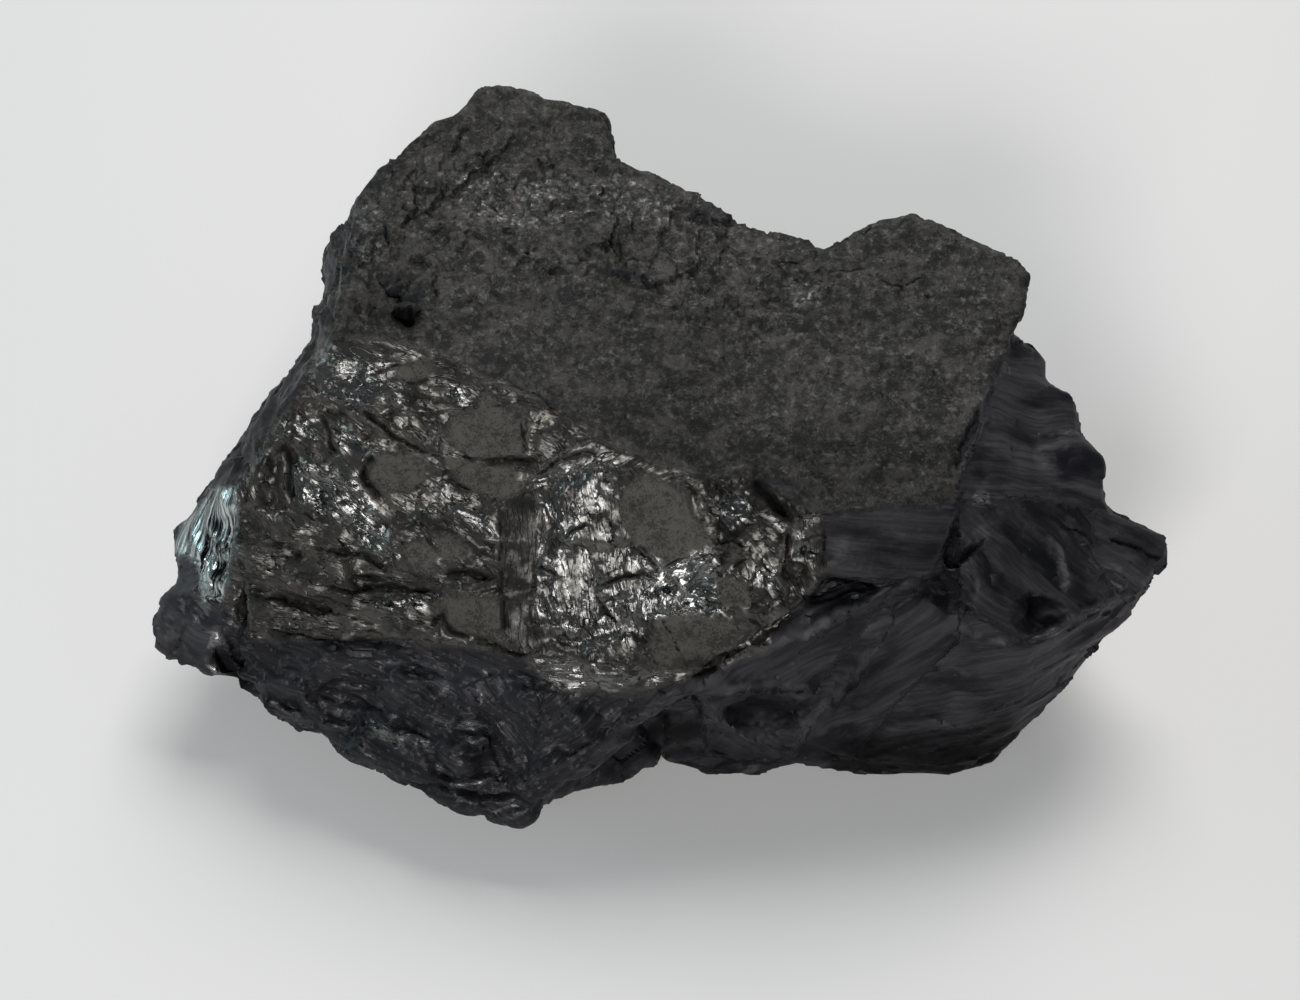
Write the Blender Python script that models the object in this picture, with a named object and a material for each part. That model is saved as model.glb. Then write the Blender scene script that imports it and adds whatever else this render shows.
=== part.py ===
"""A hand-sized lump of banded coal, broken along its bedding and its cleats.

The lump is one solid.  It is modelled the way it broke: convex blocks, each bounded by
flat breaks, are grown together, and the joined surface is then broken up by small cleat
blocks, bedding ledges, scoops and pits, and cut flat where it rests.

Run it with: blender --background --python part.py
"""

import bmesh
import bpy
import numpy as np
from mathutils import Vector

MM = 0.001

# Driving sizes, in millimetres unless they say otherwise.
FUSE_SIZE = 0.85           # grid at which the blocks are grown together
BED_TILT = (0.03, -0.24)   # the bedding's fall per millimetre to the right and to the back
SLAB_LEVEL = 42.0          # height of the dull slab above the origin
FIBROUS_FROM = 17.0        # right of here the breaks are silky and smooth
FIBROUS_BROW = (-24.5, 0.36)  # and in front of this line: back at the middle, and its slope
TRIANGLES_KEPT = 0.1       # share of the fused surface's triangles that the solid keeps

# The breaks' own relief.  Heights and sizes are in millimetres; each block size is right,
# back, up.
SWELL_HEIGHT = 0.4         # slow swelling of the hackly breaks
SWELL_SIZE = 9.0
BLOCK_SIZE = (9.0, 8.0, 5.0)
BLOCK_HEIGHT = (0.12, 0.60)  # on every break, and what the hackly ones add
CHIP_SIZE = (4.5, 4.0, 3.0)
CHIP_HEIGHT = (0.08, 0.20)
LEDGE_HEIGHT = 0.35        # of the bedding's ledges on steep breaks
LEDGE_SPACING = 5.0
LEDGE_WANDER = 14.0        # size of the noise that bends the ledges
FIBROUS_CALM = 0.8         # how much less the silky side is broken up
CLEAT_JITTER = 0.38        # how far a cleat block's centre strays, in blocks
CLEAT_SLOPE = 0.8
CLEAT_SKEW = 0.35          # share of the summed offsets in a cleat block's distance
STEEP_FROM, STEEP_SOFT = 0.75, 0.3  # a normal this far from upright counts as steep
FOOT_FADE = 2.0            # the underside has no relief this near the table

COAL_COLOR = (0.028, 0.028, 0.031, 1.0)
COAL_ROUGHNESS = 0.38

# Corners of the large breaks: right, back and up from the origin, which is on the table
# under the middle of the lump.
CORNERS = {
    # Back rim of the dull slab, from the crown to the right-hand corner.
    "west_low": (-31.5, 21.5, 48), "west_mid": (-26.5, 26.5, 49), "west_high": (-22.5, 31.5, 50),
    "crown_tip": (-19, 35.8, 51), "crown_corner": (-4.3, 32.5, 50), "crown_notch": (-4.5, 27, 48.5),
    "rim_1": (1.5, 24.5, 47.5), "rim_2": (9.5, 19.5, 46), "saddle": (18.5, 16.5, 45),
    "rim_3": (24, 19.5, 45.5), "rim_4": (29, 20.5, 46), "rim_5": (36, 18, 45), "rim_corner": (42, 14, 44),
    # Its right edge, which hangs over the wing, and the ridge along its front.
    "over_1": (39.5, 7, 42.5), "over_2": (36, -0.5, 40.5), "over_3": (32.5, -6, 39.5),
    "over_4": (32.5, -11.5, 38), "ridge_left": (-34.5, 4.5, 44), "ridge_bulge": (-23.5, 4, 43.5),
    "ridge_mid": (-5.5, -6, 40.5), "ridge_right": (18, -13.5, 38), "slab_west": (-29, 10, 45),
    # Left bevel under the slab.
    "bevel_back": (-37.5, 23.5, 36), "bevel_mid": (-37.5, 17, 35), "bevel_front": (-38, 11.5, 36),
    # Left edge of the bright face, and its toe.
    "bright_1": (-37.5, 0.5, 38.5), "bright_2": (-42, -2, 34.5), "bright_3": (-45.5, -5, 30),
    "bright_4": (-46, -10.5, 23.5), "toe_0": (-45, -17.5, 19), "toe_1": (-33.5, -19, 22.5),
    "toe_2": (-25.5, -21, 24), "toe_3": (-14, -23, 25), "toe_4": (-1, -24, 25), "toe_5": (4.5, -25, 24),
    "toe_6": (10.5, -22, 26), "toe_7": (15, -19.5, 30.5), "toe_8": (18, -19, 31.5),
    # Left flank, its striated facet and the rough block at the far left.
    "flank_1": (-40, 13, 30), "flank_2": (-44, 10, 24.5), "flank_3": (-47.5, 5.5, 20.5),
    "flank_4": (-52, 0.5, 18), "facet_1": (-54, -2, 17), "facet_2": (-55.5, -3.5, 16),
    "facet_3": (-55, -8, 14.5), "block_1": (-56.5, -12.5, 14), "block_2": (-57, -15, 12),
    "block_3": (-54.5, -17, 11), "block_4": (-50, -18.5, 10),
    # Rim of the layered lobe at the lower left, round to its tip.
    "lobe_1": (-48, -19, 10), "lobe_2": (-43.5, -21, 10.5), "lobe_3": (-37.8, -25.2, 9.5),
    "lobe_4": (-31.5, -28, 9.5), "lobe_5": (-23.5, -33, 8), "tip": (-15, -35, 7),
    "tip_right": (-12, -31, 6), "lip_1": (-6.5, -26.5, 4), "lip_2": (-1, -24, 2),
    # The overhanging lower ridge, from the tip up to the wing.
    "brow_1": (-12, -31, 10), "brow_2": (-5.5, -28, 14), "brow_3": (0, -25.5, 17),
    "brow_4": (5.5, -24.5, 21), "brow_5": (12, -21.7, 24.5), "brow_6": (19, -19.7, 28.5),
    "brow_7": (25.8, -18.3, 30.8), "brow_8": (30.7, -16.9, 29.5),
    # Wing: where it leaves the slab, the three scallops of its outer edge, and its lower ridge.
    "root_1": (38.5, 9, 39.5), "root_2": (38, 4.6, 39.5), "root_3": (34.8, -2.3, 38.5),
    "root_4": (32.7, -10.4, 37.5), "wing_1": (40.2, 10.1, 38), "wing_2": (42.3, 9.7, 36.5),
    "wing_3": (44, 7.8, 35.5), "wing_4": (43.8, 6.1, 35), "wing_5": (44.2, 5.1, 34.5),
    "wing_6": (46.4, 4.6, 34), "wing_7": (47.6, 3.2, 33.5), "wing_8": (47.3, 0.5, 32.8),
    "wing_9": (48.7, -1.2, 32.5), "wing_10": (50.2, -2.5, 32), "wing_11": (49.7, -7.4, 30),
    "wing_tip": (58, -7.4, 24), "wing_under": (58.2, -9.4, 20.5), "wing_low": (57.3, -11.1, 18),
    "wing_crest": (38.7, -10, 32.5), "keel_1": (34, -18.5, 24), "keel_2": (37, -20.5, 23),
    "keel_3": (42, -20.5, 23), "keel_4": (45, -19, 22), "keel_5": (50, -16, 21),
    # Lower edge of the fibrous shelf.
    "shelf_1": (18.6, -17.3, 32.5), "shelf_2": (24, -18.5, 32.3), "shelf_3": (30.2, -17.7, 32),
    # Foot of the lump.
    "foot_0": (1.5, -24, 1), "foot_1": (6.5, -26, -2), "foot_2": (13, -26, -2), "foot_3": (17, -24.5, -2),
    "foot_4": (24.5, -26.5, -2), "foot_5": (32, -26.5, -2), "foot_6": (39, -25, -2),
    "foot_7": (42, -23, 2), "side_1": (45, -20.5, 6), "side_2": (47.5, -18, 9), "side_3": (51.5, -15.5, 14),
}

# The blocks: corners named above, then inner or hidden corners of that block alone.  The
# core is the sound middle that all the others grow on, so that no gap stays between them.
BLOCKS = {
    "core": (
        [],
        [(-42, -10, 11), (-41, -3, 18), (-30, -6, 4), (-30, 12, 5), (-5, 24, 4), (20, 20, 4),
         (34, 14, 4), (40, 4, 4), (36, -12, 4), (10, -16, 3), (-15, -14, 4), (-33, 6, 28),
         (-30, 20, 30), (-5, 24, 32), (20, 15, 32), (33, 13, 32), (40, 5, 26), (34, -11, 30),
         (30, -14.5, 29), (20, -13, 30), (16, -19, 23), (0, -14, 26), (-25, -8, 26)],
    ),
    "slab_left": (
        ["west_low", "west_mid", "west_high", "crown_notch", "rim_1", "rim_2", "slab_west",
         "ridge_left", "bevel_back", "bevel_mid", "bevel_front"],
        [(4, -9.5, 39.5), (-22, 33, 26), (8, 25, 25), (0, -5, 20), (-30, 0, 20)],
    ),
    "crown": (
        ["west_high", "crown_tip", "crown_corner", "crown_notch"],
        [(-20, 36, 38), (-6, 33, 38), (-15, 20, 34), (-5, 24, 34)],
    ),
    "slab_middle": (
        ["rim_2", "saddle", "ridge_right"],
        [(4, -9.5, 39.5), (17, 22, 28), (8, 22, 20), (5, -5, 20), (20, 0, 20)],
    ),
    "slab_right": (
        ["saddle", "rim_3", "rim_4", "rim_5", "rim_corner", "over_1", "over_2", "over_3",
         "over_4", "ridge_right"],
        [(38, 14, 28), (30, -6, 28), (15, 0, 20), (32, 20, 22)],
    ),
    "bright_bed": (
        ["ridge_left", "ridge_bulge", "ridge_mid", "ridge_right", "bright_1", "bright_2",
         "bright_3", "bright_4", "toe_0", "toe_1", "toe_2", "toe_3", "toe_4", "toe_5", "toe_6",
         "toe_7", "toe_8"],
        [(-32, 8, 20), (15, 0, 12), (-30, -5, 8), (0, -12, 12)],
    ),
    "layered_lobe": (
        ["toe_0", "toe_3", "toe_5", "lobe_1", "lobe_2", "lobe_3", "lobe_4", "lobe_5", "tip",
         "tip_right", "brow_1", "brow_2", "brow_3", "brow_4"],
        [(-5, -21, 7), (3, -19, 9), (-22, -14, -2), (-45, -8, 8), (-36, -2, 4), (-20, 5, -2), (4, -8, -2)],
    ),
    "bottom_bed": (
        ["tip", "tip_right", "lip_1", "lip_2", "foot_0"],
        [(-12, -26, 7), (0, -18, 5), (6, -18, 5), (-13, -26, 4), (-6, -15, -2), (6, -12, -2)],
    ),
    "flank": (
        ["ridge_left", "bright_1", "bright_2", "bright_3", "flank_1", "flank_2", "flank_3",
         "flank_4", "facet_1", "facet_2", "facet_3"],
        [(-47, -13, 18), (-36, 20, 22), (-43, 9, 12), (-47, 0, 9), (-46, -14, 9), (-30, 5, 4)],
    ),
    "far_left": (
        ["facet_3", "block_1", "block_2", "block_3", "block_4"],
        [(-52, -3, 17), (-47, -13, 17), (-46, -8, 21), (-50, -10, 8), (-44, -16, 9)],
    ),
    "recess": (
        ["foot_0", "foot_1"],
        [(-1, -18, 15), (3, -21.5, 15), (9, -20, 15), (-1, -15, -2), (9, -15, -2)],
    ),
    "fan": (
        ["brow_4", "brow_5", "brow_6", "foot_1", "foot_2", "foot_3"],
        [(5, -10, -2), (18, -10, -2), (10, -10, 20)],
    ),
    "right_foot": (
        ["brow_6", "brow_7", "brow_8", "keel_1", "keel_2", "keel_3", "keel_4", "foot_3", "foot_4",
         "foot_5", "foot_6", "foot_7", "side_1", "side_2", "side_3"],
        [(50, 1, 12), (43, 5, -2), (12, 0, -2), (20, -8, 22)],
    ),
    "scallop_back": (
        ["root_1", "root_2", "wing_1", "wing_2", "wing_3", "wing_4"],
        [(36, 6, 30), (45, 8, 15), (44, 3, 14), (34, 3, 20)],
    ),
    "scallop_middle": (
        ["root_2", "root_3", "wing_5", "wing_6", "wing_7", "wing_8"],
        [(33, 0, 30), (46, 6, 14), (47.5, -1, 13), (32, 0, 16)],
    ),
    "scallop_front": (
        ["root_3", "root_4", "wing_8", "wing_9", "wing_10", "wing_11", "wing_crest"],
        [(49.5, -3, 11), (30, 0, 14), (36, -12, 20)],
    ),
    "wing_point": (
        ["wing_crest", "wing_11", "wing_tip", "wing_under", "wing_low", "keel_1", "keel_2", "keel_3",
         "keel_4", "keel_5", "side_3", "brow_8"],
        [(49.5, 0, 12), (34, -6, 14)],
    ),
    "shelf": (
        ["ridge_right", "over_3", "over_4", "shelf_1", "shelf_2", "shelf_3"],
        [(20, -10, 25), (32, -8, 28), (20, -15, 30)],
    ),
    "back": (
        [],
        [(-20, 37, 28), (-5, 35, 26), (10, 28, 25), (25, 27, 23), (38, 23, 21), (47, 13, 17),
         (49.5, 1, 13), (-20, 30, 6), (0, 28, 2), (20, 24, 1), (35, 17, -2), (43, 5, -2),
         (-36, 23, 24), (-42, 14, 15), (-45, 6, 12), (-34, 19, 6), (-38, 8, 5), (-20, 12, -2),
         (-22, -4, -2), (0, 18, -2)],
    ),
}

# Scoops and pits pressed into the surface: centre, half sizes, depth.
SCOOPS = {
    "slab_pit": ((-26.5, 10, 45), (2.6, 1.8, 3), 1.6),
    "ridge_notch": ((12.5, -12, 38.5), (5, 2.2, 3), 1.6),
    "ridge_pit": ((15.5, -18.5, 32), (2, 2.5, 3), 1.2),
    "shelf_recess": ((32.5, -17, 29), (3, 2.5, 4), 1.8),
    "wing_hollow": ((42, -18, 24.5), (4, 2.5, 3), 1.4),
    "wing_dish": ((41.5, -2, 35), (6, 6, 4), 1.0),
    "fan_scoop": ((11.5, -25, 10), (5.5, 5, 8), 2.6),
    "fan_scoop_small": ((21, -22, 12), (3.5, 4, 8), 1.3),
    "block_gap": ((-47, -17.5, 12), (3, 2.5, 3), 1.8),
    "lobe_scoop": ((-32, -25, 15), (7, 5, 5), 1.6),
    "tip_scoop": ((-17, -29, 15), (5, 5, 6), 1.5),
    "bevel_scoop": ((-35, 16, 40), (3.5, 6, 5), 1.2),
}


def clear_scene():
    """Removes every object that the startup file brings."""
    for old in list(bpy.data.objects):
        bpy.data.objects.remove(old)


def coal_material():
    """Near-black coal with a broken, half-glossy lustre."""
    material = bpy.data.materials.new("coal")
    material.use_nodes = True
    shader = material.node_tree.nodes["Principled BSDF"]
    shader.inputs["Base Color"].default_value = COAL_COLOR
    shader.inputs["Roughness"].default_value = COAL_ROUGHNESS
    shader.inputs["Metallic"].default_value = 0.0
    return material


def block_mesh(corners):
    """The convex hull of a block's corners, as a mesh in metres."""
    shape = bmesh.new()
    points = [shape.verts.new(Vector(corner) * MM) for corner in corners]
    hull = bmesh.ops.convex_hull(shape, input=points)
    unused = {v for v in hull["geom_interior"] + hull["geom_unused"] if isinstance(v, bmesh.types.BMVert)}
    bmesh.ops.delete(shape, geom=list(unused), context="VERTS")
    bmesh.ops.recalc_face_normals(shape, faces=shape.faces)
    mesh = bpy.data.meshes.new("block")
    shape.to_mesh(mesh)
    shape.free()
    return mesh


def fused_blocks():
    """Every block grown together into one closed surface on an even grid, as a mesh."""
    joined = bmesh.new()
    for names, own in BLOCKS.values():
        mesh = block_mesh([CORNERS[name] for name in names] + own)
        joined.from_mesh(mesh)
        bpy.data.meshes.remove(mesh)
    mesh = bpy.data.meshes.new("blocks")
    joined.to_mesh(mesh)
    joined.free()
    blocks = bpy.data.objects.new("blocks", mesh)
    bpy.context.collection.objects.link(blocks)
    fuse = blocks.modifiers.new("fuse", "REMESH")
    fuse.mode = "VOXEL"
    fuse.voxel_size = FUSE_SIZE * MM
    seen = blocks.evaluated_get(bpy.context.evaluated_depsgraph_get())
    fused = bpy.data.meshes.new_from_object(seen)
    bpy.data.objects.remove(blocks)
    bpy.data.meshes.remove(mesh)
    return fused


def smooth_noise(points, size, seed):
    """Value noise between -1 and 1: random values on a grid, blended by a smoothstep."""
    period = 32
    table = np.random.default_rng(seed).uniform(-1.0, 1.0, (period, period, period))
    place = points / size
    base = np.floor(place).astype(int)
    part = place - base
    part = part * part * (3.0 - 2.0 * part)
    total = np.zeros(len(points))
    for corner in np.ndindex(2, 2, 2):
        share = np.prod(np.where(corner, part, 1.0 - part), axis=1)
        at = (base + corner) % period
        total += share * table[at[:, 0], at[:, 1], at[:, 2]]
    return total


def cleat_blocks(points, size, seed):
    """Stepped, tilted facets: each point takes the plane of the nearest jittered block centre.

    Nearness is the largest of the three offsets, so the blocks come out square-cornered.
    """
    period = 16
    table = np.random.default_rng(seed).uniform(-1.0, 1.0, (period, period, period, 7))
    place = points / np.array(size)
    base = np.floor(place).astype(int)
    nearest = np.full(len(points), np.inf)
    height = np.zeros(len(points))
    for step in np.ndindex(3, 3, 3):
        cell = base + step - 1
        at = cell % period
        drawn = table[at[:, 0], at[:, 1], at[:, 2]]
        offset = place - (cell + 0.5 + CLEAT_JITTER * drawn[:, :3])
        distance = np.max(np.abs(offset), axis=1) + CLEAT_SKEW * np.sum(np.abs(offset), axis=1)
        closer = distance < nearest
        nearest = np.where(closer, distance, nearest)
        plane = drawn[:, 3] + CLEAT_SLOPE * np.sum(offset * drawn[:, 4:], axis=1)
        height = np.where(closer, plane, height)
    return height


def bed_level(points):
    """Height above the bed that passes through the origin, in millimetres.

    The beds fall by BED_TILT for each millimetre to the right and to the back; a negative
    fall is a rise.
    """
    right, back = BED_TILT
    return points[:, 2] + right * points[:, 0] + back * points[:, 1]


def bed_ledges(points, spacing, seed):
    """A saw along the bedding: each bed swells out and then steps back at its foot."""
    level = bed_level(points) / spacing + CLEAT_SLOPE * smooth_noise(points, LEDGE_WANDER, seed)
    return 2.0 * (level - np.floor(level)) - 1.0


def slab_share(points, normals):
    """1 on the dull slab's top and 0 elsewhere, with a soft border."""
    near = np.clip((bed_level(points) - SLAB_LEVEL + 3.0) / 1.5, 0.0, 1.0)
    return near * np.clip((normals[:, 2] - 0.88) / 0.06, 0.0, 1.0)


def fibrous_share(points):
    """1 on the silky side at the lower right, which broke smoothly, and 0 on the hackly left."""
    right, back = points[:, 0], points[:, 1]
    past_ridge = (right - FIBROUS_FROM) / 3.0
    under_brow = (FIBROUS_BROW[0] + FIBROUS_BROW[1] * right - back) / 2.0
    return np.clip(np.maximum(past_ridge, under_brow), 0.0, 1.0) * (right > 0.0)


def scooped(points):
    """Depth of the scoops and pits at each point: a dome upside down in every one."""
    depth = np.zeros(len(points))
    for centre, half, deep in SCOOPS.values():
        away = np.sum(((points - centre) / half) ** 2, axis=1)
        depth += deep * np.clip(1.0 - away, 0.0, None)
    return depth


def roughen(mesh):
    """Moves the fused surface along its normals by the breaks' own relief."""
    count = len(mesh.vertices)
    points = np.empty(count * 3)
    mesh.vertices.foreach_get("co", points)
    points = points.reshape(-1, 3) / MM
    normals = np.empty(count * 3, np.float32)
    mesh.vertex_normals.foreach_get("vector", normals)
    normals = normals.reshape(-1, 3).astype(float)
    slab = slab_share(points, normals)
    broken = 1.0 - slab
    steep = broken * np.clip((STEEP_FROM - normals[:, 2]) / STEEP_SOFT, 0.0, 1.0)
    hackly = broken * (1.0 - FIBROUS_CALM * fibrous_share(points))
    relief = SWELL_HEIGHT * hackly * smooth_noise(points, SWELL_SIZE, seed=3)
    relief += (BLOCK_HEIGHT[0] + BLOCK_HEIGHT[1] * hackly) * cleat_blocks(points, BLOCK_SIZE, seed=11)
    relief += (CHIP_HEIGHT[0] + CHIP_HEIGHT[1] * hackly) * cleat_blocks(points, CHIP_SIZE, seed=5)
    relief += LEDGE_HEIGHT * steep * hackly * bed_ledges(points, LEDGE_SPACING, seed=8)
    relief -= scooped(points)
    underside = normals[:, 2] < -0.5
    relief *= 1.0 - np.clip(1.0 - points[:, 2] / FOOT_FADE, 0.0, 1.0) * underside
    points += normals * relief[:, None]
    mesh.vertices.foreach_set("co", (points * MM).ravel())
    mesh.update()


def drop_bubbles(shape):
    """Deletes the tiny bubbles and crumbs that the fusing and the cut can leave, keeping the lump."""
    left = set(shape.verts)
    bodies = []
    while left:
        reached = {left.pop()}
        body = set(reached)
        while reached:
            reached = {edge.other_vert(vert) for vert in reached for edge in vert.link_edges} - body
            body |= reached
        left -= body
        bodies.append(body)
    bodies.remove(max(bodies, key=len))
    bmesh.ops.delete(shape, geom=[vert for body in bodies for vert in body], context="VERTS")


def cut_foot(shape):
    """Cuts the lump flat at the table's level and closes the cut with one resting face."""
    whole = shape.verts[:] + shape.edges[:] + shape.faces[:]
    bmesh.ops.bisect_plane(shape, geom=whole, plane_co=(0, 0, 0), plane_no=(0, 0, -1), clear_outer=True)
    rim = [edge for edge in shape.edges if edge.is_boundary]
    bmesh.ops.holes_fill(shape, edges=rim, sides=0)
    bmesh.ops.triangulate(shape, faces=[face for face in shape.faces if len(face.verts) > 3])
    bmesh.ops.recalc_face_normals(shape, faces=shape.faces)


def centre(shape):
    """Slides the lump so that the middle of its box stands over the origin."""
    corners = np.array([vert.co for vert in shape.verts])
    middle = (corners.min(axis=0) + corners.max(axis=0)) / 2.0
    bmesh.ops.translate(shape, verts=shape.verts, vec=(-middle[0], -middle[1], 0.0))


def thinned(mesh):
    """The mesh with only its share of triangles kept, as flat facets, and cut flat at the foot."""
    fine = bpy.data.objects.new("fine", mesh)
    bpy.context.collection.objects.link(fine)
    facets = fine.modifiers.new("facets", "DECIMATE")
    facets.ratio = TRIANGLES_KEPT
    seen = fine.evaluated_get(bpy.context.evaluated_depsgraph_get())
    shape = bmesh.new()
    shape.from_mesh(seen.to_mesh())
    bpy.data.objects.remove(fine)
    bpy.data.meshes.remove(mesh)
    cut_foot(shape)
    drop_bubbles(shape)
    centre(shape)
    thin = bpy.data.meshes.new("coal_lump")
    shape.to_mesh(thin)
    shape.free()
    return thin


def coal_lump():
    """The whole lump: fused, roughened, thinned to its facets and cut flat at the foot."""
    fused = fused_blocks()
    roughen(fused)
    mesh = thinned(fused)
    mesh.materials.append(coal_material())
    lump = bpy.data.objects.new("coal_lump", mesh)
    bpy.context.collection.objects.link(lump)
    return lump


def main():
    """Builds the lump in an empty scene."""
    clear_scene()
    coal_lump()


main()
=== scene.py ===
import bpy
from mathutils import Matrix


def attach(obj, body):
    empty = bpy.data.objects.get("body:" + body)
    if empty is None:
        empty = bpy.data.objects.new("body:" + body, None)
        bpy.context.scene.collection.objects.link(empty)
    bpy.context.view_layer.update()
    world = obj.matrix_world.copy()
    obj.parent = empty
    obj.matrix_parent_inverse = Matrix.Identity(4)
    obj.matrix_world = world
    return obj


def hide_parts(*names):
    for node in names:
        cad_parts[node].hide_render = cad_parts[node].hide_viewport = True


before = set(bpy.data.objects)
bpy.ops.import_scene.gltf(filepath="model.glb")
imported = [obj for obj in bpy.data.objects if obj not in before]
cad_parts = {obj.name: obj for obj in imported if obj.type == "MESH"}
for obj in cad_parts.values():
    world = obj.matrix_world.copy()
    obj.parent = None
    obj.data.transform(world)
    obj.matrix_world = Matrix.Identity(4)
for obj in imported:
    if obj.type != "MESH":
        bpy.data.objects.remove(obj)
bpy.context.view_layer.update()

"""Dresses the coal lump: its broken skin, the finishes of its bands, and a plain pale studio.

The lump's own solid is copied, covered by a fine skin, and broken up as coal breaks: flat
plates and square cleat blocks on the bright face, combed fibres on the silky side, grains
on the dull slab, with cracks, pits and ledges.  Lengths are in millimetres, and places
marked px are where the camera sees them in its 1300 by 1000 frame.
"""

import logging
import math
from collections.abc import Sequence
from dataclasses import dataclass, field
from enum import Enum

import bmesh
import bpy
import numpy as np
from mathutils import Vector
from numpy.typing import NDArray

Array = NDArray[np.float64]
Px = tuple[float, float]
Triple = tuple[float, float, float]
Colour = tuple[float, float, float, float]

MM = 0.001
LOG = logging.getLogger("coal_lump")


# --------------------------------------------------------------------------- noise


def value_noise(points: Array, size: float | Triple, seed: int) -> Array:
    """Smooth noise: random values at the corners of a grid, blended by 3t^2 - 2t^3.

    Args:
        points: places, one row each.
        size: the grid's cell, one length or one for each axis.
        seed: the table's seed.

    Returns:
        A value from -1 to 1 for each point.
    """
    period = 64
    table = np.random.default_rng(seed).uniform(-1.0, 1.0, (period, period, period))
    place = points / np.asarray(size, float)
    base = np.floor(place).astype(int)
    part = place - base
    part = part * part * (3.0 - 2.0 * part)
    total = np.zeros(len(points))
    for corner in np.ndindex(2, 2, 2):
        share = np.prod(np.where(corner, part, 1.0 - part), axis=1)
        at = (base + corner) % period
        total += share * table[at[:, 0], at[:, 1], at[:, 2]]
    return total


def rough_noise(points: Array, size: float, seed: int, octaves: int = 3) -> Array:
    """Value noise summed over octaves, each half the size and half the height of the last.

    Args:
        points: places, one row each.
        size: the coarsest cell.
        seed: the first octave's seed.
        octaves: how many are summed.

    Returns:
        A value of about -1 to 1 for each point.
    """
    total = np.zeros(len(points))
    for octave in range(octaves):
        total += 0.5**octave * value_noise(points, size * 0.5**octave, seed + octave)
    return total / 1.5


@dataclass
class Cells:
    """What each point gets from the jittered block nearest to it."""

    offset: Array
    height: Array
    tilt: Array
    edge: Array

    def facets(self, size: Triple) -> Array:
        """The block's tilted plane: its own height plus its offset times its own slopes."""
        return self.height + np.sum(self.offset / np.asarray(size) * self.tilt, axis=1)


BLOCK_STRAY = 0.42  # how far a block's middle leaves its cell's, as a share of the cell


def cleat_cells(points: Array, size: Triple, seed: int, squareness: float = 0.6) -> Cells:
    """Finds the nearest jittered block to each point, as coal parts into blocks along cleats.

    Nearness mixes the largest single offset, which gives square blocks, with the straight
    distance, which gives rounder ones.

    Args:
        points: places, one row each.
        size: the block's length along each axis.
        seed: the draw's seed.
        squareness: 1 for square blocks and 0 for round ones.

    Returns:
        The point's offset from the block's middle, the block's own height and slopes from
        -1 to 1, and how much further the next block is.
    """
    period = 24
    table = np.random.default_rng(seed).uniform(-1.0, 1.0, (period, period, period, 7))
    place = points / np.asarray(size, float)
    base = np.floor(place).astype(int)
    count = len(points)
    first = np.full(count, np.inf)
    second = np.full(count, np.inf)
    winner = np.zeros((count, 3), int)
    for step in np.ndindex(3, 3, 3):
        cell = (base + step - 1) % period
        jitter = table[cell[:, 0], cell[:, 1], cell[:, 2], :3]
        offset = place - (base + step - 0.5 + BLOCK_STRAY * jitter)
        square = np.max(np.abs(offset), axis=1)
        straight = np.sqrt(np.einsum("ij,ij->i", offset, offset))
        near = squareness * square + (1.0 - squareness) * straight
        closer = near < first
        second = np.where(closer, first, np.minimum(second, near))
        first = np.where(closer, near, first)
        winner[closer] = step
    cell = (base + winner - 1) % period
    drawn = table[cell[:, 0], cell[:, 1], cell[:, 2]]
    offset = (place - (base + winner - 0.5 + BLOCK_STRAY * drawn[:, :3])) * size
    return Cells(offset, drawn[:, 3], drawn[:, 4:7], second - first)


def smooth(low: float, high: float, value: Array) -> Array:
    """0 below low, 1 above high, and 3t^2 - 2t^3 between them."""
    part = np.clip((value - low) / (high - low), 0.0, 1.0)
    return part * part * (3.0 - 2.0 * part)


def axes_along(direction: Triple) -> Array:
    """Three unit axes as columns: the first runs along a direction, the others square to it."""
    first = np.asarray(direction, float)
    first = first / np.linalg.norm(first)
    second = np.cross((0.0, 0.0, 1.0), first)
    second = second / np.linalg.norm(second)
    return np.stack([first, second, np.cross(first, second)], axis=1)


# --------------------------------------------------------------------------- camera and lamps


@dataclass(frozen=True)
class Sight:
    """Where the camera stands, and where it sees each place."""

    elevation: float = math.radians(58.0)
    focal: float = 60.0
    sensor: float = 36.0
    width: int = 1300
    height: int = 1000
    px_per_mm: float = 9.23
    target: Triple = (-0.60, -8.92, 32.0)
    clip_metres: float = 0.01

    @property
    def focal_px(self) -> float:
        """The focal length in pixels."""
        return self.focal / self.sensor * self.width

    @property
    def back(self) -> Array:
        """The unit direction from the target to the camera."""
        return np.array((0.0, -math.cos(self.elevation), math.sin(self.elevation)))

    @property
    def up(self) -> Array:
        """The picture's upward direction."""
        return np.array((0.0, math.sin(self.elevation), math.cos(self.elevation)))

    @property
    def eye(self) -> Array:
        """The camera's place, as far back as gives the picture's scale at the target."""
        return np.array(self.target) + self.back * self.focal_px / self.px_per_mm

    def pixels(self, points: Array) -> Array:
        """Where the camera sees each place, in pixels from the frame's top left."""
        rays = points - self.eye
        depth = -rays @ self.back
        across = self.width / 2.0 + self.focal_px * rays[:, 0] / depth
        down = self.height / 2.0 - self.focal_px * (rays @ self.up) / depth
        return np.stack([across, down], axis=1)

    def set_up(self) -> None:
        """Makes the camera and gives it to the scene."""
        lens = bpy.data.cameras.new("camera")
        lens.lens = self.focal
        lens.sensor_width = self.sensor
        lens.clip_start = self.clip_metres
        camera = bpy.data.objects.new("camera", lens)
        camera.location = Vector(self.eye) * MM
        camera.rotation_euler = Vector(-self.back).to_track_quat("-Z", "Y").to_euler()
        bpy.context.scene.collection.objects.link(camera)
        bpy.context.scene.camera = camera


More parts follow.
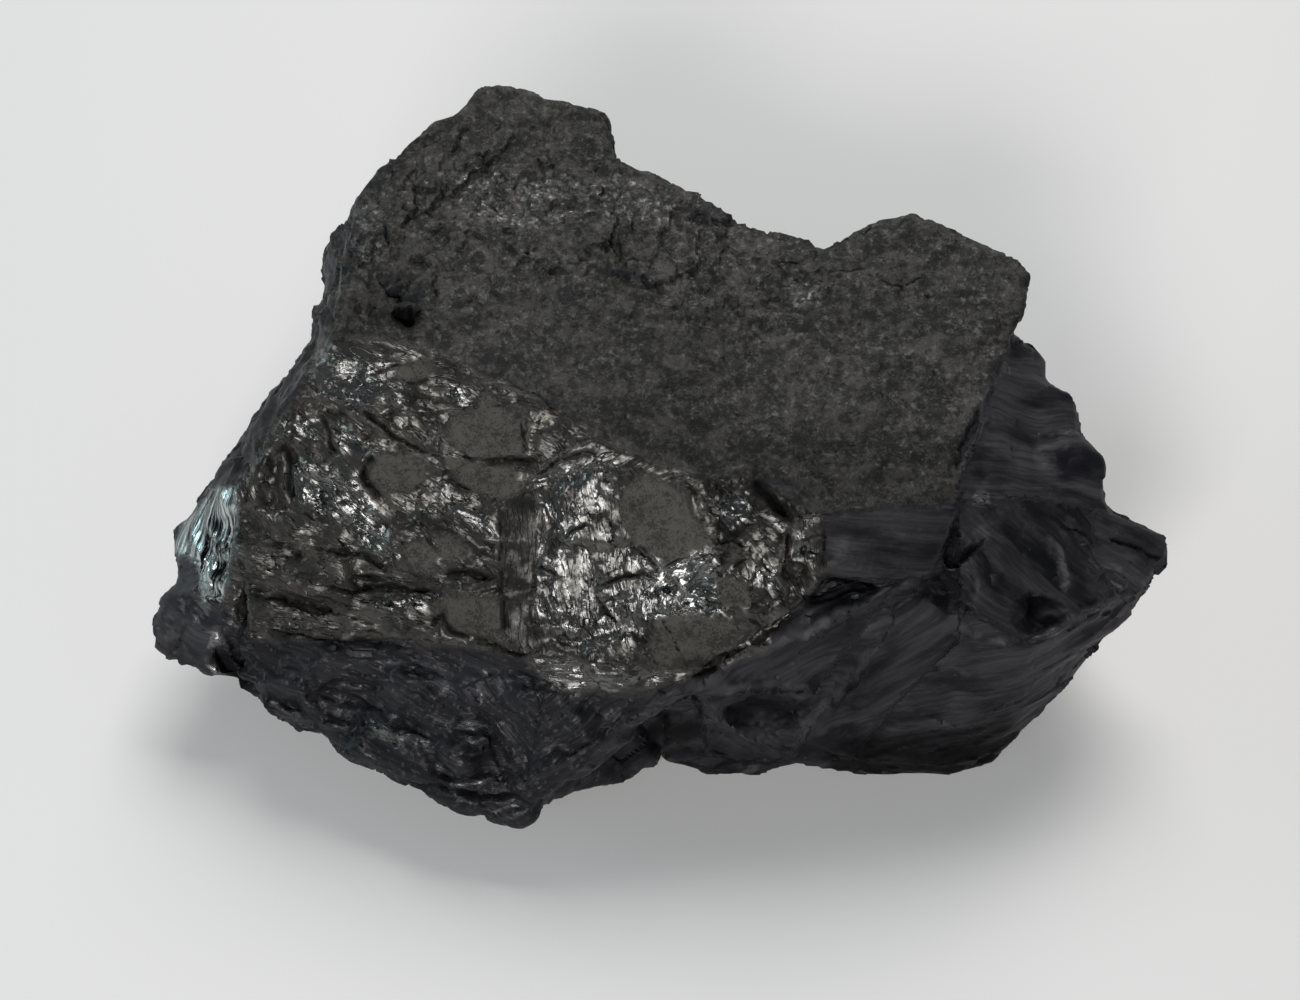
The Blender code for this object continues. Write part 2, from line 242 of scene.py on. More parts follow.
@dataclass(frozen=True)
class Lamp:
    """A soft rectangular light: its place and size in metres, its power and its colour."""

    name: str
    place: Triple
    size: tuple[float, float]
    power: float
    colour: Triple
    aim: Triple = (0.0, 0.0, 0.02)

    def set_up(self) -> None:
        """Makes the light, facing what it lights."""
        light = bpy.data.lights.new(self.name, "AREA")
        light.shape = "RECTANGLE"
        light.size, light.size_y = self.size
        light.energy = self.power
        light.color = self.colour
        holder = bpy.data.objects.new(self.name, light)
        holder.location = self.place
        aim = Vector(self.aim) - Vector(self.place)
        holder.rotation_euler = aim.to_track_quat("-Z", "Y").to_euler()
        bpy.context.scene.collection.objects.link(holder)


LAMPS = (
    Lamp("back_ceiling", (0.10, 0.62, 0.78), (0.60, 0.45), 7.0, (1.0, 0.985, 0.96)),
    Lamp("front_window", (-0.16, -0.58, 0.46), (0.30, 0.20), 3.2, (1.0, 0.99, 0.97)),
    Lamp("left_window", (-0.72, 0.10, 0.24), (0.25, 0.20), 1.0, (0.75, 0.97, 1.0)),
)


# --------------------------------------------------------------------------- the lump's breaks


@dataclass(frozen=True)
class Fold:
    """A crack or a crest along a line: its turns in px, half width and rise in mm.

    The side on the right of the line, walking along it, stands higher by the step.
    """

    line: tuple[Px, ...]
    width: float = 0.4
    rise: float = -0.8
    step: float = 0.0


@dataclass(frozen=True)
class Plate:
    """A flat cleat plate: its outline in px, how far it stands up, and how flat it is, to 1."""

    outline: tuple[Px, ...]
    lift: float = 0.1
    flatness: float = 0.75


@dataclass(frozen=True)
class Pit:
    """A pit or a knob: its centre and half sizes in px, its depth in mm and its turn.

    The depth is negative for a knob, and the turn is in radians in the picture.
    """

    centre: Px
    half: Px
    depth: float
    turn: float = 0.0


@dataclass(frozen=True)
class Glitter:
    """An area of clean crystal: its outline in px, how far its facets lean to the light."""

    outline: tuple[Px, ...]
    coarse: float = 0.5
    fine: float = 0.4
    gloss: float = 1.0


@dataclass(frozen=True)
class PaintedLightAndTone:
    """An area painted darker or paler than its band: its outline and soft border in px, and by how much.
    Most are painted shade in hollows and at the foot, or painted light on faces turned to the lamps; the
    fibrous band's is its own tone.
    """

    outline: tuple[Px, ...]
    shade: float
    soft: float = 14.0


@dataclass(frozen=True)
class Flow:
    """An area that broke along one direction: its outline and that direction in px.

    Its long facets have a length, a width and a height in mm, and the fibres over them a
    height of their own, and it wanders sideways by the sway.  An area that ripples in
    rings has their middle in px.
    """

    outline: tuple[Px, ...]
    towards: Px
    length: float = 4.0
    width: float = 1.4
    height: float = 0.16
    fibres: float = 0.05
    middle: Px | None = None
    sway: float = 1.2


@dataclass(frozen=True)
class Rough:
    """One layer of roughness: its size and height in mm, its draw and its octaves.

    On the slab the height counts by one share where it is calm, and by so much more where
    it is broken.
    """

    size: float
    height: float
    seed: int
    octaves: int = 3
    calm: float = 1.0
    broken: float = 0.0


@dataclass(frozen=True)
class Stray:
    """How noise moves places in the picture: how far in px, its size in mm and its draws."""

    far: float
    size: float
    octaves: int
    seeds: tuple[int, int]


@dataclass(frozen=True)
class Borders:
    """How wide the soft border of each kind of area is, in px."""

    area: float = 8.0
    flow: float = 1.0
    plate: float = 3.0
    round_plate: float = 12.0
    facet: float = 5.0
    slab: float = 12.0
    broken_slab: float = 60.0
    foot: float = 20.0
    fibrous: float = 10.0
    glitter: float = 16.0


@dataclass
class Grain:
    """The frame in which each point's area broke, and how coarsely it did.

    The place is along, across and out of the grain; the axes are its three directions as
    columns; the size is that of the long facets.
    """

    place: Array
    axes: Array
    size: Array
    height: Array
    fibres: Array


class Band(Enum):
    """The kinds of coal that the lump shows, and the marks over them: dark cracks with painted shade in
    deep pits, and painted highlights along crests.
    """

    BRIGHT = "bright"
    LAYERED = "layered"
    GLOSS = "gloss"
    SILKY = "silky"
    DULL = "dull"
    PLATE = "plate"
    # Dark cracks, and painted shade in deep pits.
    GROOVE_AND_PIT_SHADE = "groove"
    FACET = "facet"
    # A painted highlight along the crests' lines.
    PAINTED_CREST_HIGHLIGHT = "painted_crest_highlight"


BRIGHT_FACE = (
    (313, 337), (430, 346), (515, 392), (560, 412), (600, 440), (690, 474), (745, 478), (822, 514),
    (828, 576), (802, 600), (765, 650), (700, 678), (640, 690), (560, 690), (520, 655), (430, 645),
    (340, 640), (248, 640), (222, 605), (232, 487), (262, 440), (296, 400),
)
LAYERED_LOBE = (
    (222, 605), (248, 640), (340, 640), (430, 645), (520, 655), (560, 690), (650, 700), (600, 742),
    (545, 805), (515, 823), (400, 790), (300, 730), (215, 680),
)
LAYERED_FOOT = (
    (222, 560), (300, 560), (380, 570), (440, 585), (440, 645), (340, 640), (248, 640), (222, 605),
)
LEFT_FACET = (
    (213, 487), (235, 487), (238, 510), (230, 560), (222, 602), (203, 600), (195, 560), (172, 550),
    (185, 525), (200, 505),
)
SLAB_TOP = (
    (300, 340), (320, 200), (410, 120), (482, 75), (620, 100), (700, 180), (820, 230), (915, 205),
    (1045, 265), (1014, 335), (985, 400), (958, 445), (958, 500), (822, 514), (745, 478), (690, 474),
    (600, 440), (560, 412), (515, 392), (430, 346), (313, 337),
)
SLAB_BROKEN = (
    (330, 190), (440, 120), (560, 165), (700, 200), (800, 250), (850, 280), (760, 320), (600, 290),
    (480, 300), (340, 330),
)
FIBROUS_BAND = ((503, 495), (534, 490), (536, 560), (531, 600), (528, 652), (503, 652), (500, 560))

PLATES = (
    Plate(
        ((445, 430), (458, 414), (470, 412), (497, 407), (527, 407), (520, 455), (482, 460), (457, 448)),
        0.25,
    ),
    Plate(((440, 455), (470, 460), (507, 468), (522, 485), (517, 502), (482, 497), (455, 480)), 0.2),
    Plate(((380, 452), (405, 450), (424, 454), (424, 480), (410, 492), (382, 495), (370, 475)), 0.2),
    Plate(((400, 550), (425, 540), (436, 548), (435, 578), (415, 572)), 0.2),
    Plate(((432, 535), (455, 533), (475, 548), (465, 560), (440, 556)), 0.1),
    Plate(((428, 602), (445, 598), (502, 598), (503, 645), (457, 632), (435, 615)), 0.15),
    Plate(
        (
            (620, 495), (635, 478), (655, 478), (685, 495), (692, 512), (707, 530), (710, 547),
            (690, 554), (665, 562), (648, 550), (633, 540), (622, 525),
        ),
        0.15,
    ),
    Plate(
        ((647, 635), (655, 622), (675, 615), (715, 618), (750, 628), (722, 652), (700, 666), (655, 665)),
        0.1,
    ),
    Plate(((717, 575), (742, 578), (752, 605), (722, 608)), 0.1),
    Plate(((391, 371), (412, 362), (429, 359), (430, 372), (420, 383), (405, 386)), 0.15),
    Plate(((475, 402), (488, 391), (500, 401), (496, 412), (480, 413)), 0.15),
)

CRACKS = (
    # Across the bright face's left half.
    Fold(((352, 405), (368, 417), (384, 430), (398, 440), (415, 447), (440, 453)), 0.36, -0.8, 0.3),
    Fold(((455, 449), (472, 457), (495, 461), (520, 459), (540, 456)), 0.3, -0.8, -0.3),
    Fold(((517, 413), (521, 432), (523, 455)), 0.27, -0.48, 0.15),
    Fold(((372, 448), (366, 462), (365, 480), (382, 505)), 0.52, -0.88, 0.3),
    Fold(((320, 410), (328, 430), (331, 447), (342, 455)), 0.52, -0.8, -0.3),
    Fold(((277, 440), (290, 460), (291, 480), (290, 505)), 0.58, -0.64, 0.4),
    Fold(((385, 369), (403, 364), (420, 359)), 0.24, -0.4, -0.2),
    Fold(((390, 375), (405, 385), (420, 384), (429, 374)), 0.27, -0.48, 0.2),
    Fold(((318, 588), (355, 590), (395, 586), (430, 592), (452, 588)), 0.36, -0.8, -0.4),
    Fold(((342, 578), (365, 576), (400, 580)), 0.3, -0.64, -0.3),
    Fold(((446, 580), (452, 570), (470, 572), (497, 577)), 0.47, -0.96, -0.5),
    Fold(((428, 636), (442, 614), (452, 632), (475, 642), (508, 652), (540, 657)), 0.41, -1.12, 0.5),
    Fold(((300, 545), (330, 552), (362, 556), (392, 572)), 0.36, -0.56, 0.4),
    Fold(((238, 590), (262, 600), (300, 606), (345, 618)), 0.36, -0.56, 0.4),
    Fold(((255, 625), (300, 634), (350, 642), (420, 650)), 0.36, -0.64, 0.4),
    # Round the crumpled middle and the flat plates to its right.
    Fold(((531, 484), (545, 472), (560, 463), (580, 456), (603, 452)), 0.3, -0.72, 0.35),
    Fold(((624, 541), (640, 552), (655, 562), (660, 570)), 0.27, -0.64, -0.25),
    Fold(((587, 592), (600, 585), (620, 579), (640, 576), (660, 576)), 0.3, -0.72, 0.25),
    Fold(((660, 570), (672, 562), (692, 555)), 0.24, -0.4, 0.25),
    Fold(((562, 542), (577, 528), (592, 520)), 0.33, -0.56, 0.3),
    Fold(((595, 595), (607, 610), (621, 627)), 0.33, -0.56, -0.3),
    Fold(((552, 520), (551, 540), (553, 562)), 0.36, -0.64, 0.3),
    Fold(((537, 564), (550, 572), (560, 578)), 0.3, -0.48, 0.25),
    Fold(((660, 615), (672, 636), (685, 657)), 0.24, -0.48, 0.12),
    Fold(((503, 500), (501, 560), (503, 600), (504, 648)), 0.27, -0.32),
    # The notch on the ridge, the joints and the undercut of the silky shelf.
    Fold(((748, 481), (762, 492), (778, 508), (795, 520)), 1.0, -1.6),
    Fold(((795, 520), (803, 511), (815, 515)), 0.36, -0.72),
    Fold(((715, 548), (732, 540), (750, 545)), 0.47, -0.64, 0.4),
    Fold(((790, 524), (788, 562)), 0.3, -0.72, 0.2),
    Fold(((827, 526), (825, 572)), 0.3, -0.72, -0.2),
    Fold(((812, 575), (835, 578), (853, 578), (873, 584), (893, 583), (923, 578)), 0.36, -1.0),
    Fold(((960, 500), (960, 532), (950, 553), (940, 577)), 0.36, -0.8),
    Fold(((1107, 539), (1133, 547), (1164, 561)), 0.33, -0.88, 0.3),
    Fold(((1057, 524), (1085, 537), (1101, 549)), 0.3, -0.48, 0.3),
    Fold(((985, 400), (974, 420), (960, 446), (958, 480)), 0.36, -0.8),
    # The slab.
    Fold(((467, 123), (457, 145), (450, 160)), 0.24, -0.48, 0.2),
    Fold(((446, 160), (448, 187), (438, 207), (427, 222)), 0.27, -0.56, 0.2),
    Fold(((383, 218), (388, 240), (392, 262)), 0.3, -0.56, -0.2),
    Fold(((827, 272), (843, 267), (871, 269)), 0.27, -0.48, 0.2),
    Fold(((877, 281), (902, 287), (925, 277), (940, 272)), 0.27, -0.48, 0.2),
    Fold(((859, 236), (871, 225)), 0.3, -0.48),
    Fold(((677, 222), (702, 215), (721, 222), (746, 218)), 0.41, -0.72, -0.4),
    Fold(((498, 383), (520, 390), (539, 396), (560, 418)), 0.24, -0.32, 0.12),
    # The layered lobe.
    Fold(((216, 645), (227, 665), (241, 683), (265, 699)), 1.1, -1.5, -0.4),
    Fold(((492, 733), (495, 750), (503, 766)), 0.52, -1.12),
    Fold(((395, 777), (420, 785), (445, 790), (495, 798), (530, 792)), 0.47, -1.04),
    Fold(((430, 777), (455, 781), (480, 777), (500, 767)), 0.36, -0.72, 0.3),
    Fold(((330, 688), (355, 692), (385, 690)), 0.3, -0.4, 0.3),
    Fold(((322, 703), (350, 708), (390, 712)), 0.3, -0.4, 0.3),
    Fold(((340, 672), (365, 676), (395, 678)), 0.3, -0.4, 0.3),
    # The foot.
    Fold(((640, 737), (670, 730), (702, 724)), 1.8, -1.0),
    Fold(((717, 722), (760, 727), (810, 710)), 0.41, -0.4),
    Fold(((853, 590), (851, 610), (845, 640)), 0.3, -0.32),
)

# Crests stand up from the surface, and on the silky side their lines are painted paler as painted
# highlights.
CRESTS = (
    Fold(((227, 637), (232, 655), (245, 670), (262, 681), (277, 686)), 0.9, 0.8),
    Fold(((330, 655), (315, 665), (305, 677), (305, 697), (318, 722)), 1.0, 0.8),
    Fold(((365, 723), (387, 729), (407, 734), (432, 739)), 0.8, 0.7),
    Fold(((525, 782), (545, 765), (570, 745), (600, 728)), 1.2, 0.9),
    Fold(((465, 690), (490, 715), (515, 745), (527, 778)), 1.2, 0.6),
    Fold(((640, 707), (700, 683), (750, 650), (810, 628), (853, 607), (893, 587)), 1.3, 1.0, -0.5),
    Fold(((703, 700), (740, 686), (773, 683), (813, 688), (827, 700)), 1.1, 1.1, -0.8),
    Fold(((703, 705), (740, 730), (790, 752)), 1.4, 1.3),
    Fold(((893, 627), (867, 657), (840, 693), (813, 717), (790, 757)), 1.4, 1.2, 0.5),
    Fold(((953, 618), (973, 633), (990, 643), (1017, 641)), 1.0, 1.0),
    Fold(((1020, 641), (1060, 626), (1100, 604), (1130, 590)), 1.0, 0.6),
    Fold(((1040, 530), (1057, 547), (1070, 578), (1063, 600)), 1.1, 0.8),
    Fold(((457, 690), (430, 700), (400, 722)), 1.4, 0.6),
)

PITS = (
    Pit((404, 316), (13, 9), 1.8, 0.3),
    Pit((368, 314), (9, 7), 0.8, 0.2),
    Pit((795, 571), (12, 9), 1.2),
    Pit((955, 580), (18, 8), 0.6, 0.5),
    Pit((1042, 617), (30, 17), 1.0, -0.3),
    Pit((563, 208), (12, 5), 0.6, -0.3),
    Pit((765, 711), (56, 17), 1.0, -0.06),
    Pit((730, 757), (45, 12), 0.8, 0.2),
    Pit((860, 735), (18, 24), 0.7),
    Pit((462, 759), (29, 19), -1.6, -0.1),
    Pit((268, 658), (34, 20), 1.1, 0.3),
    Pit((355, 700), (45, 28), 0.9, 0.2),
    Pit((885, 366), (7, 4), 0.4),
    Pit((926, 300), (5, 3), 0.4),
    Pit((887, 400), (10, 7), 0.4),
    Pit((260, 480), (16, 26), -0.8),
    Pit((250, 560), (26, 18), -0.7, 0.4),
    Pit((300, 590), (30, 12), -0.5, 0.2),
)

GLITTERS = (
    # The crumpled middle and the round ripple to its right.
    Glitter(
        (
            (534, 486), (548, 470), (565, 458), (600, 450), (622, 466), (618, 496), (620, 530),
            (650, 560), (636, 576), (650, 604), (640, 645), (600, 660), (560, 645), (536, 640),
            (534, 560),
        ),
        0.34, 0.34, 0.62,
    ),
    Glitter(
        ((640, 588), (654, 556), (690, 545), (716, 553), (730, 590), (726, 616), (692, 628), (646, 620)),
        0.8, 0.35,
    ),
    # The left half's hackle.
    Glitter(((283, 422), (302, 412), (325, 420), (322, 440), (300, 446), (286, 438)), 0.6, 0.35, 0.8),
    Glitter(((336, 425), (352, 430), (374, 448), (370, 462), (350, 455), (338, 442)), 0.8, 0.3),
    Glitter(
        (
            (292, 468), (320, 460), (345, 468), (372, 496), (392, 528), (402, 552), (385, 560),
            (358, 540), (328, 520), (300, 500),
        ),
        0.7, 0.3, 0.9,
    ),
    Glitter(
        ((426, 480), (442, 478), (470, 500), (497, 520), (503, 536), (480, 540), (450, 518), (430, 498)),
        0.34, 0.3, 0.6,
    ),
    Glitter(
        (
            (318, 347), (350, 340), (378, 352), (402, 372), (412, 396), (392, 408), (350, 408),
            (322, 402), (308, 385),
        ),
        0.35, 0.4, 0.7,
    ),
    Glitter(((440, 392), (462, 386), (474, 400), (465, 412), (445, 408)), 0.6, 0.4),
    Glitter(
        ((365, 603), (395, 597), (440, 595), (446, 604), (430, 614), (395, 618), (370, 612)),
        0.6, 0.35, 0.8,
    ),
    Glitter(((476, 598), (490, 598), (490, 612), (478, 614)), 0.6, 0.4, 0.8),
    Glitter(((498, 625), (510, 625), (510, 650), (498, 650)), 0.4, 0.4, 0.7),
    Glitter(((400, 500), (425, 492), (440, 515), (420, 530), (400, 520)), 0.3, 0.4, 0.6),
    # The ridge's right end.
    Glitter(((722, 490), (748, 492), (752, 524), (724, 527)), 0.55, 0.4, 0.8),
    Glitter(((762, 512), (788, 516), (790, 536), (764, 536)), 0.55, 0.4, 0.8),
    Glitter(((745, 565), (778, 562), (780, 592), (748, 596)), 0.55, 0.4, 0.9),
    Glitter(((791, 526), (816, 524), (818, 560), (793, 562)), 0.5, 0.4, 0.7),
    Glitter(((738, 598), (750, 602), (748, 622), (736, 615)), 0.5, 0.4, 0.7),
    Glitter(
        ((532, 655), (600, 662), (650, 668), (680, 672), (650, 690), (590, 695), (540, 690)),
        0.25, 0.4, 0.7,
    ),
    Glitter(((600, 440), (650, 462), (690, 484), (684, 494), (650, 476), (610, 462)), 0.3, 0.4, 0.5),
    # The slab's broken end, its ledges and the shelf.
    Glitter(((451, 165), (480, 160), (592, 180), (590, 225), (520, 232), (455, 215)), 0.3, 0.6, 0.5),
    Glitter(((580, 171), (640, 175), (680, 200), (676, 228), (600, 226)), 0.3, 0.6, 0.5),
    Glitter(((777, 275), (800, 268), (828, 282), (825, 308), (790, 312)), 0.3, 0.6, 0.5),
    Glitter(((475, 239), (551, 239), (551, 304), (475, 304)), 0.2, 0.4, 0.3),
    Glitter(((345, 200), (392, 205), (385, 262), (342, 262)), 0.3, 0.4, 0.5),
    Glitter(((838, 584), (872, 586), (870, 596), (840, 594)), 0.3, 0.5, 0.6),
    Glitter(((970, 490), (995, 490), (995, 508), (972, 506)), 0.4, 0.5, 0.8),
    Glitter(((938, 503), (958, 503), (958, 518), (940, 518)), 0.3, 0.4, 0.6),
    Glitter(((1070, 545), (1100, 560), (1132, 572), (1128, 590), (1085, 575)), 0.2, 0.4, 0.4),
    Glitter(((1024, 627), (1062, 622), (1062, 638), (1028, 641)), 0.3, 0.5, 0.6),
    # The lobe's sparks.
    Glitter(((365, 722), (390, 725), (433, 738), (430, 748), (395, 745), (367, 733)), 0.3, 0.5, 0.8),
    Glitter(((452, 708), (470, 705), (480, 735), (468, 745), (455, 730)), 0.2, 0.45, 0.6),
    Glitter(((452, 780), (480, 772), (522, 776), (520, 786), (460, 788)), 0.2, 0.45, 0.6),
    Glitter(((196, 602), (212, 602), (212, 620), (196, 620)), 0.5, 0.4, 0.8),
    Glitter(((210, 634), (224, 636), (222, 650), (210, 650)), 0.5, 0.4, 0.8),
    Glitter(((205, 665), (225, 660), (225, 680), (208, 680)), 0.4, 0.4, 0.8),
    Glitter(((176, 604), (188, 604), (186, 616), (176, 616)), 0.5, 0.4, 0.7),
    Glitter(((186, 530), (232, 530), (226, 606), (198, 606)), 0.38, 0.2, 0.6),
)

PAINTED_LIGHT_AND_TONES = (
    # The silky side: painted shade in its scoops, its undercuts and its near-black base, and painted
    # light on its paler planes.
    PaintedLightAndTone(
        ((715, 706), (745, 696), (785, 696), (815, 706), (806, 720), (775, 728), (740, 726)),
        -0.5, 8.0,
    ),
    PaintedLightAndTone(((636, 724), (700, 708), (706, 735), (700, 753), (660, 764), (636, 752)), -0.5),
    PaintedLightAndTone(
        (
            (826, 746), (870, 732), (940, 736), (1005, 715), (1030, 740), (960, 790), (880, 795),
            (826, 780),
        ),
        -0.8, 20.0,
    ),
    PaintedLightAndTone(((700, 742), (750, 745), (795, 760), (800, 785), (740, 785), (700, 770)), -0.4),
    PaintedLightAndTone(((857, 592), (893, 590), (897, 612), (880, 640), (857, 637)), 0.45),
    PaintedLightAndTone(((1012, 600), (1035, 592), (1062, 600), (1064, 628), (1040, 636), (1018, 622)), -0.4, 10.0),
    PaintedLightAndTone(((813, 717), (840, 693), (867, 657), (893, 627), (903, 650), (865, 705), (830, 735)), -0.35),
    PaintedLightAndTone(((700, 672), (760, 640), (820, 612), (850, 610), (840, 650), (790, 680), (730, 690)), 0.15),
    # The wing.
    PaintedLightAndTone(
        (
            (985, 400), (1014, 330), (1045, 362), (1085, 410), (1110, 470), (1106, 505), (960, 495),
            (960, 446),
        ),
        0.3,
    ),
    PaintedLightAndTone(((1100, 505), (1165, 530), (1175, 580), (1120, 605), (1095, 545)), 0.55),
    # The lobe and the block at the far left: painted shade in the gap at the lobe's left and along the
    # bright face's foot, and paler patches.
    PaintedLightAndTone(((213, 645), (230, 668), (262, 697), (292, 706), (272, 718), (222, 690)), -0.5, 10.0),
    PaintedLightAndTone(((400, 645), (500, 658), (540, 690), (520, 730), (440, 700)), 0.3),
    PaintedLightAndTone(((300, 660), (410, 662), (430, 720), (330, 722)), 0.3),
    PaintedLightAndTone(((140, 590), (222, 600), (225, 690), (140, 660)), 0.55),
    PaintedLightAndTone(
        ((222, 604), (300, 634), (430, 648), (520, 657), (520, 668), (430, 662), (300, 650), (225, 624)),
        -0.4, 12.0,
    ),
    # The bright face, the bevel at its left and the shelf beside it: painted shade on the bevel and the
    # shelf, in the notch and between the hackled zones.
    PaintedLightAndTone(((300, 335), (262, 440), (232, 487), (196, 500), (196, 465), (250, 375), (288, 318)), -0.35),
    PaintedLightAndTone(((222, 560), (300, 565), (440, 590), (440, 640), (340, 636), (248, 636)), -0.2, 30.0),
    PaintedLightAndTone(((826, 545), (950, 545), (942, 580), (828, 576)), -0.2),
    PaintedLightAndTone(((428, 522), (456, 516), (500, 545), (490, 562), (452, 548)), -0.4),
    PaintedLightAndTone(((234, 500), (240, 462), (285, 452), (292, 500), (262, 520)), -0.1),
    PaintedLightAndTone(((300, 578), (400, 576), (452, 580), (452, 594), (330, 594)), -0.3, 10.0),
    PaintedLightAndTone(((748, 505), (795, 520), (790, 545), (755, 540)), -0.35),
    # The slab: painted shade in and round its pit, painted sheen towards its back and darker towards its
    # front edge; then the fibrous band's own dark tone, and painted light on the round ripple.
    PaintedLightAndTone(((388, 306), (418, 303), (426, 322), (398, 330)), -0.7, 8.0),
    PaintedLightAndTone(((345, 298), (425, 294), (428, 335), (350, 338)), -0.3),
    PaintedLightAndTone(((430, 175), (560, 180), (570, 290), (450, 300)), 0.25, 60.0),
    PaintedLightAndTone(((560, 310), (700, 300), (760, 390), (700, 425), (590, 400)), -0.18, 50.0),
    PaintedLightAndTone(((560, 405), (700, 425), (965, 430), (962, 512), (822, 520), (690, 480)), -0.36, 50.0),
    PaintedLightAndTone(((503, 495), (536, 492), (536, 650), (503, 650)), -0.5, 10.0),
    PaintedLightAndTone(
        ((650, 590), (662, 562), (690, 552), (712, 562), (722, 592), (716, 612), (690, 618), (655, 612)),
        0.35,
    ),
    PaintedLightAndTone(((640, 205), (780, 215), (790, 300), (650, 300)), 0.3, 60.0),
)

